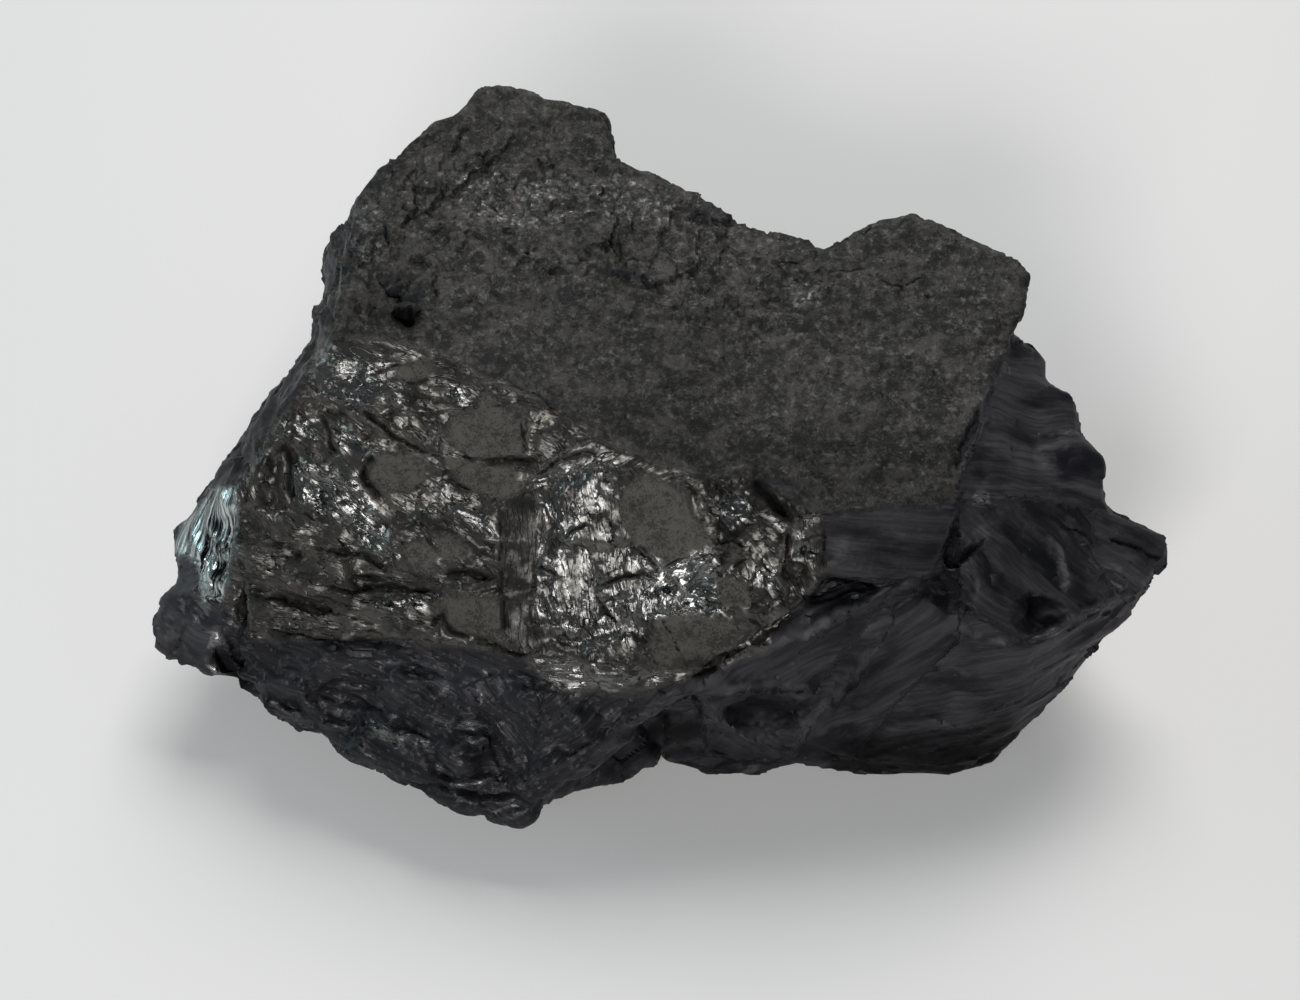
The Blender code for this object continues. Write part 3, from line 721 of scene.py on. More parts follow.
# How the coal breaks where no area says otherwise, and then area by area.
BEDDING = Flow((), (1.0, 0.0), 6.0, 1.8, 0.20, 0.05)
FLOWS = (
    # The bright face: its fine upper left, its hackled left, its foot.
    Flow(BRIGHT_FACE, (0.79, 0.61), 4.6, 1.1, 0.20, 0.05),
    Flow(
        ((285, 400), (300, 337), (430, 346), (515, 392), (545, 405), (440, 414), (352, 402)),
        (0.90, 0.38), 2.6, 0.8, 0.11, 0.04,
    ),
    Flow(
        ((300, 405), (352, 402), (440, 450), (370, 452), (330, 420)),
        (0.84, 0.54), 4.0, 0.9, 0.16, 0.05,
    ),
    Flow(
        ((440, 412), (527, 405), (523, 490), (505, 503), (455, 482), (440, 455)),
        (0.95, 0.30), 3.0, 1.2, 0.05, 0.02,
    ),
    Flow(
        ((232, 487), (262, 440), (290, 437), (292, 505), (240, 520)),
        (0.35, 0.94), 3.4, 1.2, 0.20, 0.06,
    ),
    Flow(
        ((222, 530), (300, 545), (392, 566), (440, 585), (440, 645), (340, 640), (248, 640), (222, 605)),
        (0.96, 0.26), 7.0, 1.0, 0.20, 0.05,
    ),
    Flow(((440, 596), (503, 590), (503, 650), (440, 640)), (0.95, 0.30), 3.0, 1.2, 0.05, 0.02),
    # Its crumpled middle, the arc over it, and the flat plates and rings to the right.
    Flow(
        (
            (534, 486), (552, 468), (600, 470), (622, 500), (640, 560), (650, 604), (645, 650),
            (600, 662), (536, 655),
        ),
        (0.22, 0.97), 3.4, 0.8, 0.12, 0.06,
    ),
    Flow(
        ((528, 484), (545, 462), (600, 436), (690, 474), (680, 488), (640, 474), (604, 462), (548, 482)),
        (0.80, -0.50), 3.4, 0.9, 0.10, 0.05,
    ),
    Flow(
        ((622, 500), (636, 476), (690, 490), (715, 552), (665, 566), (640, 558)),
        (0.55, 0.83), 4.0, 1.6, 0.04, 0.02,
    ),
    Flow(
        ((650, 615), (652, 580), (668, 560), (700, 556), (722, 575), (722, 604), (700, 616)),
        (0.5, 0.8), 4.0, 0.7, 0.11, 0.06, (700, 606),
    ),
    Flow(
        ((645, 640), (655, 615), (722, 608), (752, 630), (720, 660), (660, 672)),
        (0.8, 0.5), 4.0, 1.8, 0.04, 0.02,
    ),
    Flow(
        (
            (690, 474), (745, 476), (795, 512), (790, 560), (802, 600), (765, 640), (730, 605),
            (722, 560), (712, 520),
        ),
        (0.72, 0.68), 1.9, 0.9, 0.24, 0.06,
    ),
    Flow(((790, 522), (828, 514), (830, 576), (792, 572)), (0.15, 0.98), 3.0, 1.2, 0.07, 0.05),
    Flow(
        ((525, 655), (600, 662), (700, 672), (640, 692), (560, 690)),
        (0.97, 0.12), 3.0, 0.9, 0.12, 0.04,
    ),
    Flow(FIBROUS_BAND, (0.02, 1.0), 7.0, 0.55, 0.04, 0.05, None, 0.3),
    # The striated facet and the rough block at the far left.
    Flow(LEFT_FACET, (-0.27, 0.96), 14.0, 0.9, 0.03, 0.02, None, 0.1),
    Flow(((150, 590), (222, 600), (225, 680), (150, 650)), (0.80, 0.60), 1.8, 1.2, 0.16, 0.04),
    # The layered lobe, its scoop, and the two sides of the fan at its tip.
    Flow(LAYERED_LOBE, (0.95, 0.30), 9.0, 1.2, 0.16, 0.05),
    Flow(
        ((310, 660), (400, 660), (440, 700), (410, 726), (325, 722)),
        (0.88, 0.47), 12.0, 1.5, 0.14, 0.05, None, 0.4,
    ),
    Flow(
        ((457, 690), (500, 672), (545, 690), (535, 745), (527, 782), (500, 740)),
        (0.62, 0.78), 9.0, 0.9, 0.15, 0.05, None, 0.4,
    ),
    Flow(
        ((545, 690), (640, 694), (600, 742), (545, 805), (527, 782), (535, 745)),
        (-0.80, 0.60), 10.0, 0.9, 0.15, 0.05, None, 0.4,
    ),
    # The silky side: its shelf, its crest, the scoop and ridge under that, and its foot.
    Flow(
        ((822, 505), (960, 490), (958, 540), (940, 580), (826, 578)),
        (1.0, 0.03), 9.0, 0.6, 0.05, 0.05, None, 0.4,
    ),
    Flow(
        ((640, 707), (700, 672), (765, 640), (830, 580), (895, 583), (858, 635), (813, 690), (703, 703)),
        (0.88, -0.47), 12.0, 1.0, 0.14, 0.07, None, 0.4,
    ),
    Flow(
        ((703, 697), (760, 684), (815, 690), (820, 700), (790, 728), (730, 728)),
        (1.0, -0.04), 10.0, 0.8, 0.06, 0.05, None, 0.4,
    ),
    Flow(
        ((700, 700), (735, 726), (790, 750), (770, 765), (705, 755)),
        (0.85, 0.50), 10.0, 0.8, 0.10, 0.07, None, 0.4,
    ),
    Flow(
        ((640, 735), (700, 705), (705, 755), (660, 765)),
        (0.90, -0.40), 8.0, 1.0, 0.08, 0.05, None, 0.4,
    ),
    Flow(
        (
            (812, 720), (867, 657), (893, 627), (893, 600), (960, 590), (960, 640), (900, 700),
            (850, 760), (790, 760),
        ),
        (0.80, -0.55), 10.0, 1.4, 0.10, 0.06, None, 0.4,
    ),
    Flow(
        (
            (900, 700), (960, 640), (960, 610), (1030, 645), (1110, 600), (1165, 590), (1060, 700),
            (1010, 770), (850, 760),
        ),
        (0.95, -0.30), 14.0, 1.1, 0.13, 0.08, None, 0.4,
    ),
    # The wing: its plateau, its point and its scalloped top.
    Flow(
        ((960, 500), (1102, 506), (1130, 560), (1100, 604), (1020, 640), (960, 600)),
        (0.78, 0.62), 5.0, 1.4, 0.14, 0.06,
    ),
    Flow(
        ((1095, 500), (1165, 530), (1170, 580), (1120, 600), (1090, 545)),
        (0.90, 0.42), 9.0, 0.8, 0.09, 0.07, None, 0.4,
    ),
    Flow(
        ((960, 490), (990, 390), (1014, 330), (1060, 360), (1110, 440), (1108, 510)),
        (1.0, 0.12), 5.0, 1.6, 0.12, 0.05,
    ),
    # The slab, and the broken bevel at its left.
    Flow(SLAB_TOP, (1.0, 0.15), 3.0, 2.2, 0.05, 0.02),
    Flow(
        ((318, 262), (345, 205), (400, 150), (380, 225), (392, 300), (330, 330)),
        (0.62, 0.78), 4.0, 1.0, 0.18, 0.05,
    ),
)

# How soft the areas' borders are, and how noise moves borders, loose patches and cracks.
SOFT = Borders()
BORDER_STRAY = Stray(3.5, 3.2, 4, (71, 81))
LOOSE_STRAY = Stray(9.0, 2.4, 3, (171, 181))
CRACK_STRAY = Stray(3.2, 1.3, 2, (271, 281))

# The lie of the bedding, how a grain sways, and a long facet's width and depth by its flow's.
BEDDING_PLANE = (0.99, 0.02, 0.10)
SWAY_SIZE = 7.0
SWAY_SEEDS = (31, 41, 51)
FACET_ACROSS = (0.0, 1.6, 1.2)

# The two sizes of long facets: the size, the height and the lean to the light, as shares.
# Their joints have a depth by the facet's height and a reach by its size, and the most
# that any facet leans is the sideways part of its unit normal.
HACKLES = ((1.0, 1.0, 0.6), (0.5, 0.35, 0.4))
JOINT_DEPTH = 0.25
JOINT_REACH = 0.06
MOST_LEAN = 0.26

# What roughens the bright and the layered coal, the silky side and the back.
FIBRE_LENGTH = 2.0  # by the facets' length
FINER_FIBRES = 2.1  # how many times finer their second layer is
FIBRES = Rough(0.55, 1.0, 24)
STREAKS = Rough(3.6, 0.35, 27)
SWELLS = Rough(5.0, 0.30, 61)
CRYSTALS = Rough(1.3, 0.02, 72)
GRAINS = Rough(0.9, 0.025, 66)
BLOCKS_BEHIND = Rough(5.5, 0.35, 49)

# What roughens the slab.
SLAB_BLOCKS = (
    Rough(4.4, 1.0, 44, calm=0.12, broken=0.32),
    Rough(1.7, 1.0, 43, calm=0.08, broken=0.16),
)
SLAB_CRYSTALS = Rough(1.2, 0.03, 45)
SLAB_LEAN = 1.2
SLAB_SWELLS = Rough(6.5, 0.42, 46, 4)
POCKS = Rough(1.3, 0.40, 47)
POCKED_PATCHES = Rough(8.0, 1.0, 48)

# How far a crack's step reaches in mm, the share of its length in which it tapers, how its
# width and its depth vary along it, the powers that shape the profiles, and the depth in mm
# past which a pit gets painted shade as dark as a crack.
STEP_REACH = 2.4
TAPER = 0.2
NARROWING = 1.15
RAGGED = Rough(1.8, 0.75, 97, 2)
MEAN_DEPTH = 0.7
UNEVEN = Rough(1.6, 0.5, 95)
CRACK_CURVE = 1.2
CREST_CURVE = 1.4
PIT_CURVE = 1.1
DEEP_PIT = 1.0

# Where the silky coal fades in, across and then deep in mm: the lump's right, and its brow.
SILKY_RIGHT = ((14.0, 20.0), (12.0, 6.0))
SILKY_BROW = ((-1.0, 3.0), (-22.0, -25.0))
# How far one kind of coal mixes into another, and how far deep pits get painted shade as dark as the
# cracks.
LAYERED_AT_FOOT = 0.7
FIBROUS_SILKY = 0.3
FIBROUS_DULLING = 0.25
PIT_PAINTED_SHADE = 0.5
# The patches of bright coal on the sides that the camera can't see.
PATCHES = Rough(14.0, 1.0, 91)


def along_line(places: Array, line: Sequence[Px]) -> tuple[Array, Array, Array]:
    """How far each place is from a line of straight runs, and how far along it that is.

    Args:
        places: px, one row each.
        line: the line's turns in px.

    Returns:
        The shortest distance in px, the share of the line's length, 0 to 1, at the
        nearest place, and the side: 1 on the right of the line and -1 on its left.
    """
    turns = np.asarray(line, float)
    lengths = np.linalg.norm(np.diff(turns, axis=0), axis=1)
    passed = 0.0
    nearest = np.full(len(places), np.inf)
    where = np.zeros(len(places))
    side = np.zeros(len(places))
    for start, end, length in zip(turns[:-1], turns[1:], lengths):
        run = end - start
        away = places - start
        share = np.clip(away @ run / length**2, 0.0, 1.0)
        gap = np.linalg.norm(away - share[:, None] * run, axis=1)
        closer = gap < nearest
        nearest = np.where(closer, gap, nearest)
        where = np.where(closer, (passed + share * length) / lengths.sum(), where)
        side = np.where(closer, np.sign(run[0] * away[:, 1] - run[1] * away[:, 0]), side)
        passed += length
    return nearest, where, side


def within(places: Array, outline: Sequence[Px], soft: float) -> Array:
    """How far each place is inside an outline: 0 outside, 1 past a soft border.

    Inside is told by the even-odd rule, from the edges that cross a line to the right.

    Args:
        places: px, one row each.
        outline: the corners in order.
        soft: the border's width in px, half on each side.
    """
    share = np.zeros(len(places))
    corners = np.asarray(outline, float)
    low, high = corners.min(axis=0) - soft, corners.max(axis=0) + soft
    close = np.all((places > low) & (places < high), axis=1)
    near = places[close]
    inside = np.zeros(len(near), bool)
    for (x0, y0), (x1, y1) in zip(corners, np.roll(corners, -1, axis=0)):
        spans = (near[:, 1] < y0) != (near[:, 1] < y1)
        meets = x0 + (near[:, 1] - y0) * (x1 - x0) / ((y1 - y0) or 1e-9)
        inside ^= spans & (near[:, 0] < meets)
    away, _, _ = along_line(near, (*outline, outline[0]))
    share[close] = smooth(-0.5, 0.5, np.where(inside, away, -away) / soft)
    return share


@dataclass
class Skin:
    """The lump's surface while it is worked: its points and normals, in millimetres."""

    points: Array
    normals: Array
    sight: Sight
    px: Array = field(init=False)
    loose: Array = field(init=False)
    seen: Array = field(init=False)
    behind: Array = field(init=False)
    to_light: Array = field(init=False)
    ragged: Array = field(init=False)
    jagged: Array = field(init=False)

    def __post_init__(self) -> None:
        """Finds where the camera sees each point, and how it would lean to catch a lamp."""
        self.px = self.strayed(self.sight.pixels(self.points), BORDER_STRAY)
        self.loose = self.strayed(self.px, LOOSE_STRAY)
        self.ragged = rough_noise(self.points, RAGGED.size, RAGGED.seed, RAGGED.octaves)
        self.jagged = self.strayed(self.px, CRACK_STRAY)
        rays = self.sight.eye - self.points
        rays /= np.linalg.norm(rays, axis=1)[:, None]
        facing = np.einsum("ij,ij->i", rays, self.normals)
        self.seen = smooth(0.0, 0.25, facing)
        self.behind = smooth(-0.15, -0.55, facing)
        self.to_light = self.lean_to_lamps(rays)

    def strayed(self, places: Array, stray: Stray) -> Array:
        """Places in px moved by noise, so that no border or crack runs straight."""
        noises = [rough_noise(self.points, stray.size, seed, stray.octaves) for seed in stray.seeds]
        return places + stray.far * np.stack(noises, axis=1)

    def lean_to_lamps(self, rays: Array) -> Array:
        """The sideways lean that turns each point's normal to mirror its handiest lamp.

        A facet mirrors a lamp when its normal halves the angle between the ray to the eye
        and the ray to the lamp.  The lean is that halfway direction less its part along
        the normal, for the lamp that asks for least, and is no more than MOST_LEAN.

        Args:
            rays: the unit direction to the eye at each point.
        """
        best = np.full((len(self.points), 3), np.inf)
        for lamp in LAMPS:
            ray = np.asarray(lamp.place) / MM - self.points
            half = rays + ray / np.linalg.norm(ray, axis=1)[:, None]
            half /= np.linalg.norm(half, axis=1)[:, None]
            along = np.einsum("ij,ij->i", half, self.normals)
            lean = half - along[:, None] * self.normals
            less = np.linalg.norm(lean, axis=1) < np.linalg.norm(best, axis=1)
            best[less] = lean[less]
        size = np.linalg.norm(best, axis=1)
        return best * np.minimum(1.0, MOST_LEAN / np.maximum(size, 1e-9))[:, None]

    def area(self, outline: Sequence[Px], soft: float = SOFT.area) -> Array:
        """The share of an outlined area at each point, on what the camera can see."""
        return within(self.px, outline, soft) * self.seen

    def grain(self) -> Grain:
        """The direction and coarseness in which each point's area broke.

        Each area's direction is the one that lies in its mean surface and that the camera
        sees as given: the direction in the picture, slid along the line of sight.
        """
        count = len(self.points)
        sway = np.stack([rough_noise(self.points, SWAY_SIZE, seed) for seed in SWAY_SEEDS], axis=1)
        axes = np.tile(axes_along(BEDDING_PLANE), (count, 1, 1))
        place = (self.points + BEDDING.sway * sway) @ axes[0]
        shape = np.tile((BEDDING.length, BEDDING.width, BEDDING.height, BEDDING.fibres), (count, 1))
        for flow in FLOWS:
            inside = within(self.px, flow.outline, SOFT.flow) * self.seen > 0.1
            own = self.frame(flow, inside)
            axes[inside] = own
            place[inside] = (self.points[inside] + flow.sway * sway[inside]) @ own
            if flow.middle:
                place[inside] = self.rings(flow, inside, place[inside])
            shape[inside] = (flow.length, flow.width, flow.height, flow.fibres)
        size = shape[:, :1] * (1.0, 0.0, 0.0) + shape[:, 1:2] * FACET_ACROSS
        return Grain(place, axes, size, shape[:, 2], shape[:, 3])

    def frame(self, flow: Flow, inside: Array) -> Array:
        """A flow's directions along, across and out of the surface, as columns."""
        out = self.normals[inside].mean(axis=0)
        out /= np.linalg.norm(out)
        flat = np.array((flow.towards[0], 0.0, 0.0)) - flow.towards[1] * self.sight.up
        along = flat - (flat @ out) / (self.sight.back @ out) * self.sight.back
        along /= np.linalg.norm(along)
        return np.stack([along, np.cross(out, along), out], axis=1)

    def rings(self, flow: Flow, inside: Array, place: Array) -> Array:
        """Places round a flow's middle: the way round it, the way out from it, the height."""
        near = np.argmin(np.linalg.norm(self.px[inside] - flow.middle, axis=1))
        away = place - place[near]
        radius = np.hypot(away[:, 0], away[:, 1])
        turn = np.arctan2(away[:, 1], away[:, 0])
        return np.stack([turn * radius.mean(), radius, place[:, 2]], axis=1)

    def plates(self, soft: float = SOFT.plate) -> Array:
        """The share of all flat plates together, with a soft border in px."""
        return np.max([self.area(plate.outline, soft) for plate in PLATES], axis=0)

    def fold(self, fold: Fold) -> tuple[Array, Array]:
        """A fold's profile and its step.

        Args:
            fold: the crack or crest.

        Returns:
            The profile, which is 1 on the line and 0 at its half width and its two ends,
            and the ledge, which is half the step on each side and fades out sideways.
        """
        away, where, side = along_line(self.jagged, fold.line)
        away /= self.sight.px_per_mm
        away *= NARROWING + RAGGED.height * self.ragged
        taper = smooth(0.0, TAPER, where) * smooth(1.0, 1.0 - TAPER, where) * self.seen
        share = np.clip(1.0 - away / fold.width, 0.0, 1.0)
        ledge = 0.5 * fold.step * side * smooth(STEP_REACH, 0.0, away)
        return share * taper, ledge * taper

    def pit(self, pit: Pit) -> Array:
        """A pit's profile: a round-edged bowl that is 1 in the middle."""
        away = self.loose - pit.centre
        cos, sin = math.cos(pit.turn), math.sin(pit.turn)
        across = (away[:, 0] * cos + away[:, 1] * sin) / pit.half[0]
        down = (away[:, 1] * cos - away[:, 0] * sin) / pit.half[1]
        dome = np.clip(1.0 - across**2 - down**2, 0.0, 1.0)
        return dome**PIT_CURVE * self.seen

    def glitter(self) -> tuple[Array, Array, Array]:
        """The glittering areas together: their coarse lean, fine lean and gloss."""
        coarse, fine, gloss = (np.zeros(len(self.points)) for _ in range(3))
        for area in GLITTERS:
            share = within(self.loose, area.outline, SOFT.glitter) * self.seen
            coarse = np.maximum(coarse, share * area.coarse)
            fine = np.maximum(fine, share * area.fine)
            gloss = np.maximum(gloss, share * area.gloss)
        return coarse, fine, gloss

    def painted_light_and_tone(self) -> Array:
        """How much darker, to -1, or paler each point is painted than its band: mostly painted shade in
        hollows and painted light on faces turned to the lamps, in places the coal's own tone.
        """
        shades = (painted_light_and_tone.shade * within(self.loose, painted_light_and_tone.outline, painted_light_and_tone.soft) for painted_light_and_tone in PAINTED_LIGHT_AND_TONES)
        return sum(shades) * self.seen

    def bands(self) -> dict[Band, Array]:
        """The share of each kind of coal at each point.

        The dull coal is on what faces up.  The silky coal is the lump's right from the
        front to the middle, and the brow that stands out in front of that.
        """
        x, y = self.points[:, 0], self.points[:, 1]
        bright = self.area(BRIGHT_FACE)
        foot = LAYERED_AT_FOOT * self.area(LAYERED_FOOT, SOFT.foot)
        layered = np.maximum(self.area(LAYERED_LOBE), foot)
        dull = self.area(SLAB_TOP, SOFT.slab) * smooth(0.5, 0.75, self.normals[:, 2])
        facet = self.area(LEFT_FACET, SOFT.facet)
        comb = within(self.loose, FIBROUS_BAND, SOFT.fibrous) * self.seen
        right, brow = (
            smooth(*across, x) * smooth(*deep, y) for across, deep in (SILKY_RIGHT, SILKY_BROW)
        )
        silky = np.maximum(right, brow) * (1.0 - bright) * (1.0 - dull) * (1.0 - layered)
        hidden = 1.0 - self.seen
        patchy = smooth(-0.25, 0.35, rough_noise(self.points, PATCHES.size, PATCHES.seed))
        bright = np.maximum(bright * (1.0 - FIBROUS_DULLING * comb), hidden * patchy)
        groove = np.max([self.fold(crack)[0] for crack in CRACKS], axis=0)
        bowls = [self.pit(pit) for pit in PITS if pit.depth > DEEP_PIT]
        return {
            Band.BRIGHT: bright * (1.0 - facet),
            Band.LAYERED: layered * (1.0 - facet),
            Band.GLOSS: self.glitter()[2],
            Band.SILKY: np.maximum(silky, FIBROUS_SILKY * comb),
            Band.DULL: dull,
            Band.PLATE: self.plates(),
            # Cracks are dark joints; deep pits get painted shade as dark as them.
            Band.GROOVE_AND_PIT_SHADE: np.maximum(groove, PIT_PAINTED_SHADE * np.max(bowls, axis=0)),
            Band.FACET: facet,
            # Painted highlight: the crests' lines.
            Band.PAINTED_CREST_HIGHLIGHT: np.max([self.fold(crest)[0] for crest in CRESTS], axis=0),
        }


# --------------------------------------------------------------------------- the lump


@dataclass
class CoalLump:
    """The lump's visible skin, made around a merged copy of its solid."""

    sight: Sight
    node: str = "coal_lump"
    grid: float = 0.32
    quick_grid: float = 0.42
    soften: int = 8
    soften_factor: float = 0.5
    most_triangles: int = 194_000
    spare: float = 0.94
    spare_behind: float = 0.06
    spare_steps: float = 50.0
    spare_factor: float = 1.8e-5
    plate_reach: float = 4.0
    foot_calm: float = 1.2
    crease: float = math.radians(40.0)

    def build(self) -> bpy.types.Object:
        """Makes the piece: fine skin, breaks, fewer triangles, band shares, finish."""
        mesh = self.fine_mesh()
        LOG.info("fine skin: %d points", len(mesh.vertices))
        self.break_up(mesh)
        mesh = self.thinned(mesh)
        skin = self.read(mesh)
        self.flatten_plates(skin)
        self.write(mesh, skin.points)
        self.mark_bands(mesh)
        mesh.materials.clear()
        mesh.materials.append(CoalFinish().material())
        mesh.shade_smooth()
        mesh.set_sharp_from_angle(angle=self.crease)
        piece = bpy.data.objects.new("coal_skin", mesh)
        bpy.context.scene.collection.objects.link(piece)
        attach(piece, "root")
        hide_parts(self.node)
        LOG.info("coal_skin: %d triangles", len(mesh.polygons))
        return piece

    def merged_copy(self) -> bpy.types.Mesh:
        """A copy of the solid's mesh with its loose triangles joined."""
        shape = bmesh.new()
        shape.from_mesh(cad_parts[self.node].data)
        bmesh.ops.remove_doubles(shape, verts=shape.verts, dist=1e-6)
        mesh = bpy.data.meshes.new("merged")
        shape.to_mesh(mesh)
        shape.free()
        return mesh

    @staticmethod
    def evaluated(source: bpy.types.Object) -> bpy.types.Mesh:
        """The mesh that an object's modifiers give; the object itself is removed."""
        bpy.context.view_layer.update()
        seen = source.evaluated_get(bpy.context.evaluated_depsgraph_get())
        mesh = bpy.data.meshes.new_from_object(seen)
        bpy.data.objects.remove(source)
        return mesh

    @staticmethod
    def carrier(mesh: bpy.types.Mesh) -> bpy.types.Object:
        """An object that holds a mesh while modifiers work on it."""
        holder = bpy.data.objects.new("holder", mesh)
        bpy.context.scene.collection.objects.link(holder)
        return holder

    def fine_mesh(self) -> bpy.types.Mesh:
        """The solid's surface on an even fine grid, with its facets' edges softened."""
        holder = self.carrier(self.merged_copy())
        remesh = holder.modifiers.new("grid", "REMESH")
        remesh.mode = "VOXEL"
        remesh.voxel_size = self.grid * MM
        soften = holder.modifiers.new("soften", "SMOOTH")
        soften.factor = self.soften_factor
        soften.iterations = self.soften
        return self.evaluated(holder)

    def read(self, mesh: bpy.types.Mesh) -> Skin:
        """The mesh's points and normals as a skin to work on."""
        points = np.empty(len(mesh.vertices) * 3)
        mesh.vertices.foreach_get("co", points)
        normals = np.empty(len(mesh.vertices) * 3, np.float32)
        mesh.vertex_normals.foreach_get("vector", normals)
        return Skin(points.reshape(-1, 3) / MM, normals.reshape(-1, 3).astype(float), self.sight)

    @staticmethod
    def write(mesh: bpy.types.Mesh, points: Array) -> None:
        """Puts moved points, in millimetres, back into the mesh."""
        mesh.vertices.foreach_set("co", (points * MM).ravel())
        mesh.update()

    def flatten_plates(self, skin: Skin) -> None:
        """Draws each plate's points towards the plane that fits them best, and lifts it.

        The plane passes through the points' mean, square to the direction in which they
        spread least.
        """
        for plate in PLATES:
            share = skin.area(plate.outline, SOFT.plate)
            inside = share > 0.5
            middle = skin.points[inside].mean(axis=0)
            _, _, axes = np.linalg.svd(skin.points[inside] - middle, full_matrices=False)
            normal = axes[2] * np.sign(axes[2] @ skin.normals[inside].mean(axis=0))
            height = (skin.points - middle) @ normal
            near = share * (np.abs(height) < self.plate_reach)
            skin.points -= (near * (plate.flatness * height - plate.lift))[:, None] * normal

    @staticmethod
    def hackle(skin: Skin, grain: Grain, lean: Array) -> Array:
        """Long stepped facets along the grain, in two sizes, leaning to the light by a share.

        A facet's height is its block's own plane, less the offset from its middle times
        the lean that the light asks for, so that its normal turns that way.

        Args:
            skin: the surface.
            grain: the frame and the coarseness of each point's area.
            lean: the share of the lean at each point.
        """
        to_light = np.einsum("ij,ijk->ik", skin.to_light, grain.axes)
        total = np.zeros(len(lean))
        for part, height, share in HACKLES:
            size = part * grain.size
            cells = cleat_cells(grain.place, size, 20 + int(10 * part))
            step = cells.facets(size) - JOINT_DEPTH * smooth(JOINT_REACH, 0.0, cells.edge)
            turn = np.einsum("ij,ij->i", cells.offset, to_light)
            total += grain.height * height * step - share * lean * turn
        return total

    @staticmethod
    def crumple(skin: Skin, layer: Rough, lean: Array | float = 0.0) -> Array:
        """Small crystal facets without a grain, leaning to the light by a share.

        Args:
            skin: the surface.
            layer: the facets' width, height and draw.
            lean: the share of the lean at each point.
        """
        cell = (layer.size, layer.size, layer.size)
        cells = cleat_cells(skin.points, cell, layer.seed, squareness=0.3)
        turn = np.einsum("ij,ij->i", cells.offset, skin.to_light)
        return layer.height * cells.facets(cell) - lean * turn

    @staticmethod
    def fibres(grain: Grain, layer: Rough) -> Array:
        """Noise drawn out along the grain, with finer noise over it, from -1.5 to 1.5."""
        width = np.full(len(grain.size), layer.size)
        box = np.stack([FIBRE_LENGTH * grain.size[:, 0], width, width], axis=1)
        finer = value_noise(FINER_FIBRES * grain.place, box, layer.seed + 1)
        return value_noise(grain.place, box, layer.seed) + 0.5 * finer

    def relief(self, skin: Skin) -> Array:
        """How far each point moves along its normal, from its area's own way of breaking."""
        bands = skin.bands()
        grain = skin.grain()
        coarse, fine, _ = skin.glitter()
        points = skin.points
        silky, dull = bands[Band.SILKY], bands[Band.DULL]
        broken = np.clip(1.0 - silky - dull - bands[Band.FACET], 0.0, 1.0)

        total = self.hackle(skin, grain, coarse)
        total += grain.fibres * self.fibres(grain, FIBRES)
        total += silky * STREAKS.height * self.fibres(grain, STREAKS)
        total += broken * SWELLS.height * rough_noise(points, SWELLS.size, SWELLS.seed)
        total += broken * self.crumple(skin, CRYSTALS, fine)
        total += GRAINS.height * value_noise(points, GRAINS.size, GRAINS.seed)
        total += skin.behind * self.crumple(skin, BLOCKS_BEHIND)

        rugged = skin.area(SLAB_BROKEN, SOFT.broken_slab)
        for layer in SLAB_BLOCKS:
            total += dull * (layer.calm + layer.broken * rugged) * self.crumple(skin, layer)
        total += dull * self.crumple(skin, SLAB_CRYSTALS, SLAB_LEAN * fine)
        swells = rough_noise(points, SLAB_SWELLS.size, SLAB_SWELLS.seed, SLAB_SWELLS.octaves)
        total += dull * SLAB_SWELLS.height * swells
        pocks = smooth(0.45, 0.80, value_noise(points, POCKS.size, POCKS.seed))
        patches = smooth(-0.3, 0.5, value_noise(points, POCKED_PATCHES.size, POCKED_PATCHES.seed))
        return total - dull * POCKS.height * (pocks * patches)

    @staticmethod
    def folds(skin: Skin) -> Array:
        """How far the cracks, crests, pits and knobs move each point along its normal."""
        uneven = MEAN_DEPTH + UNEVEN.height * value_noise(skin.points, UNEVEN.size, UNEVEN.seed)
        cut = np.zeros(len(skin.points))
        total = np.zeros(len(skin.points))
        for crack in CRACKS:
            share, ledge = skin.fold(crack)
            cut = np.minimum(cut, crack.rise * uneven * share**CRACK_CURVE)
            total += ledge
        for crest in CRESTS:
            share, ledge = skin.fold(crest)
            total += crest.rise * uneven * share**CREST_CURVE + ledge
        total += cut
        for pit in PITS:
            total -= pit.depth * skin.pit(pit)
        return total

    def break_up(self, mesh: bpy.types.Mesh) -> None:
        """Breaks the fine skin up, and keeps its foot flat and on the ground.

        What faces down near the ground stays where it is, and nothing goes below it.
        """
        skin = self.read(mesh)
        move = self.relief(skin) + self.folds(skin)
        low = smooth(self.foot_calm, 0.2, skin.points[:, 2])
        resting = smooth(-0.5, -0.8, skin.normals[:, 2]) * low
        skin.points += skin.normals * (move * (1.0 - resting))[:, None]
        skin.points[:, 2] = np.maximum(skin.points[:, 2], 0.0)
        self.write(mesh, skin.points)

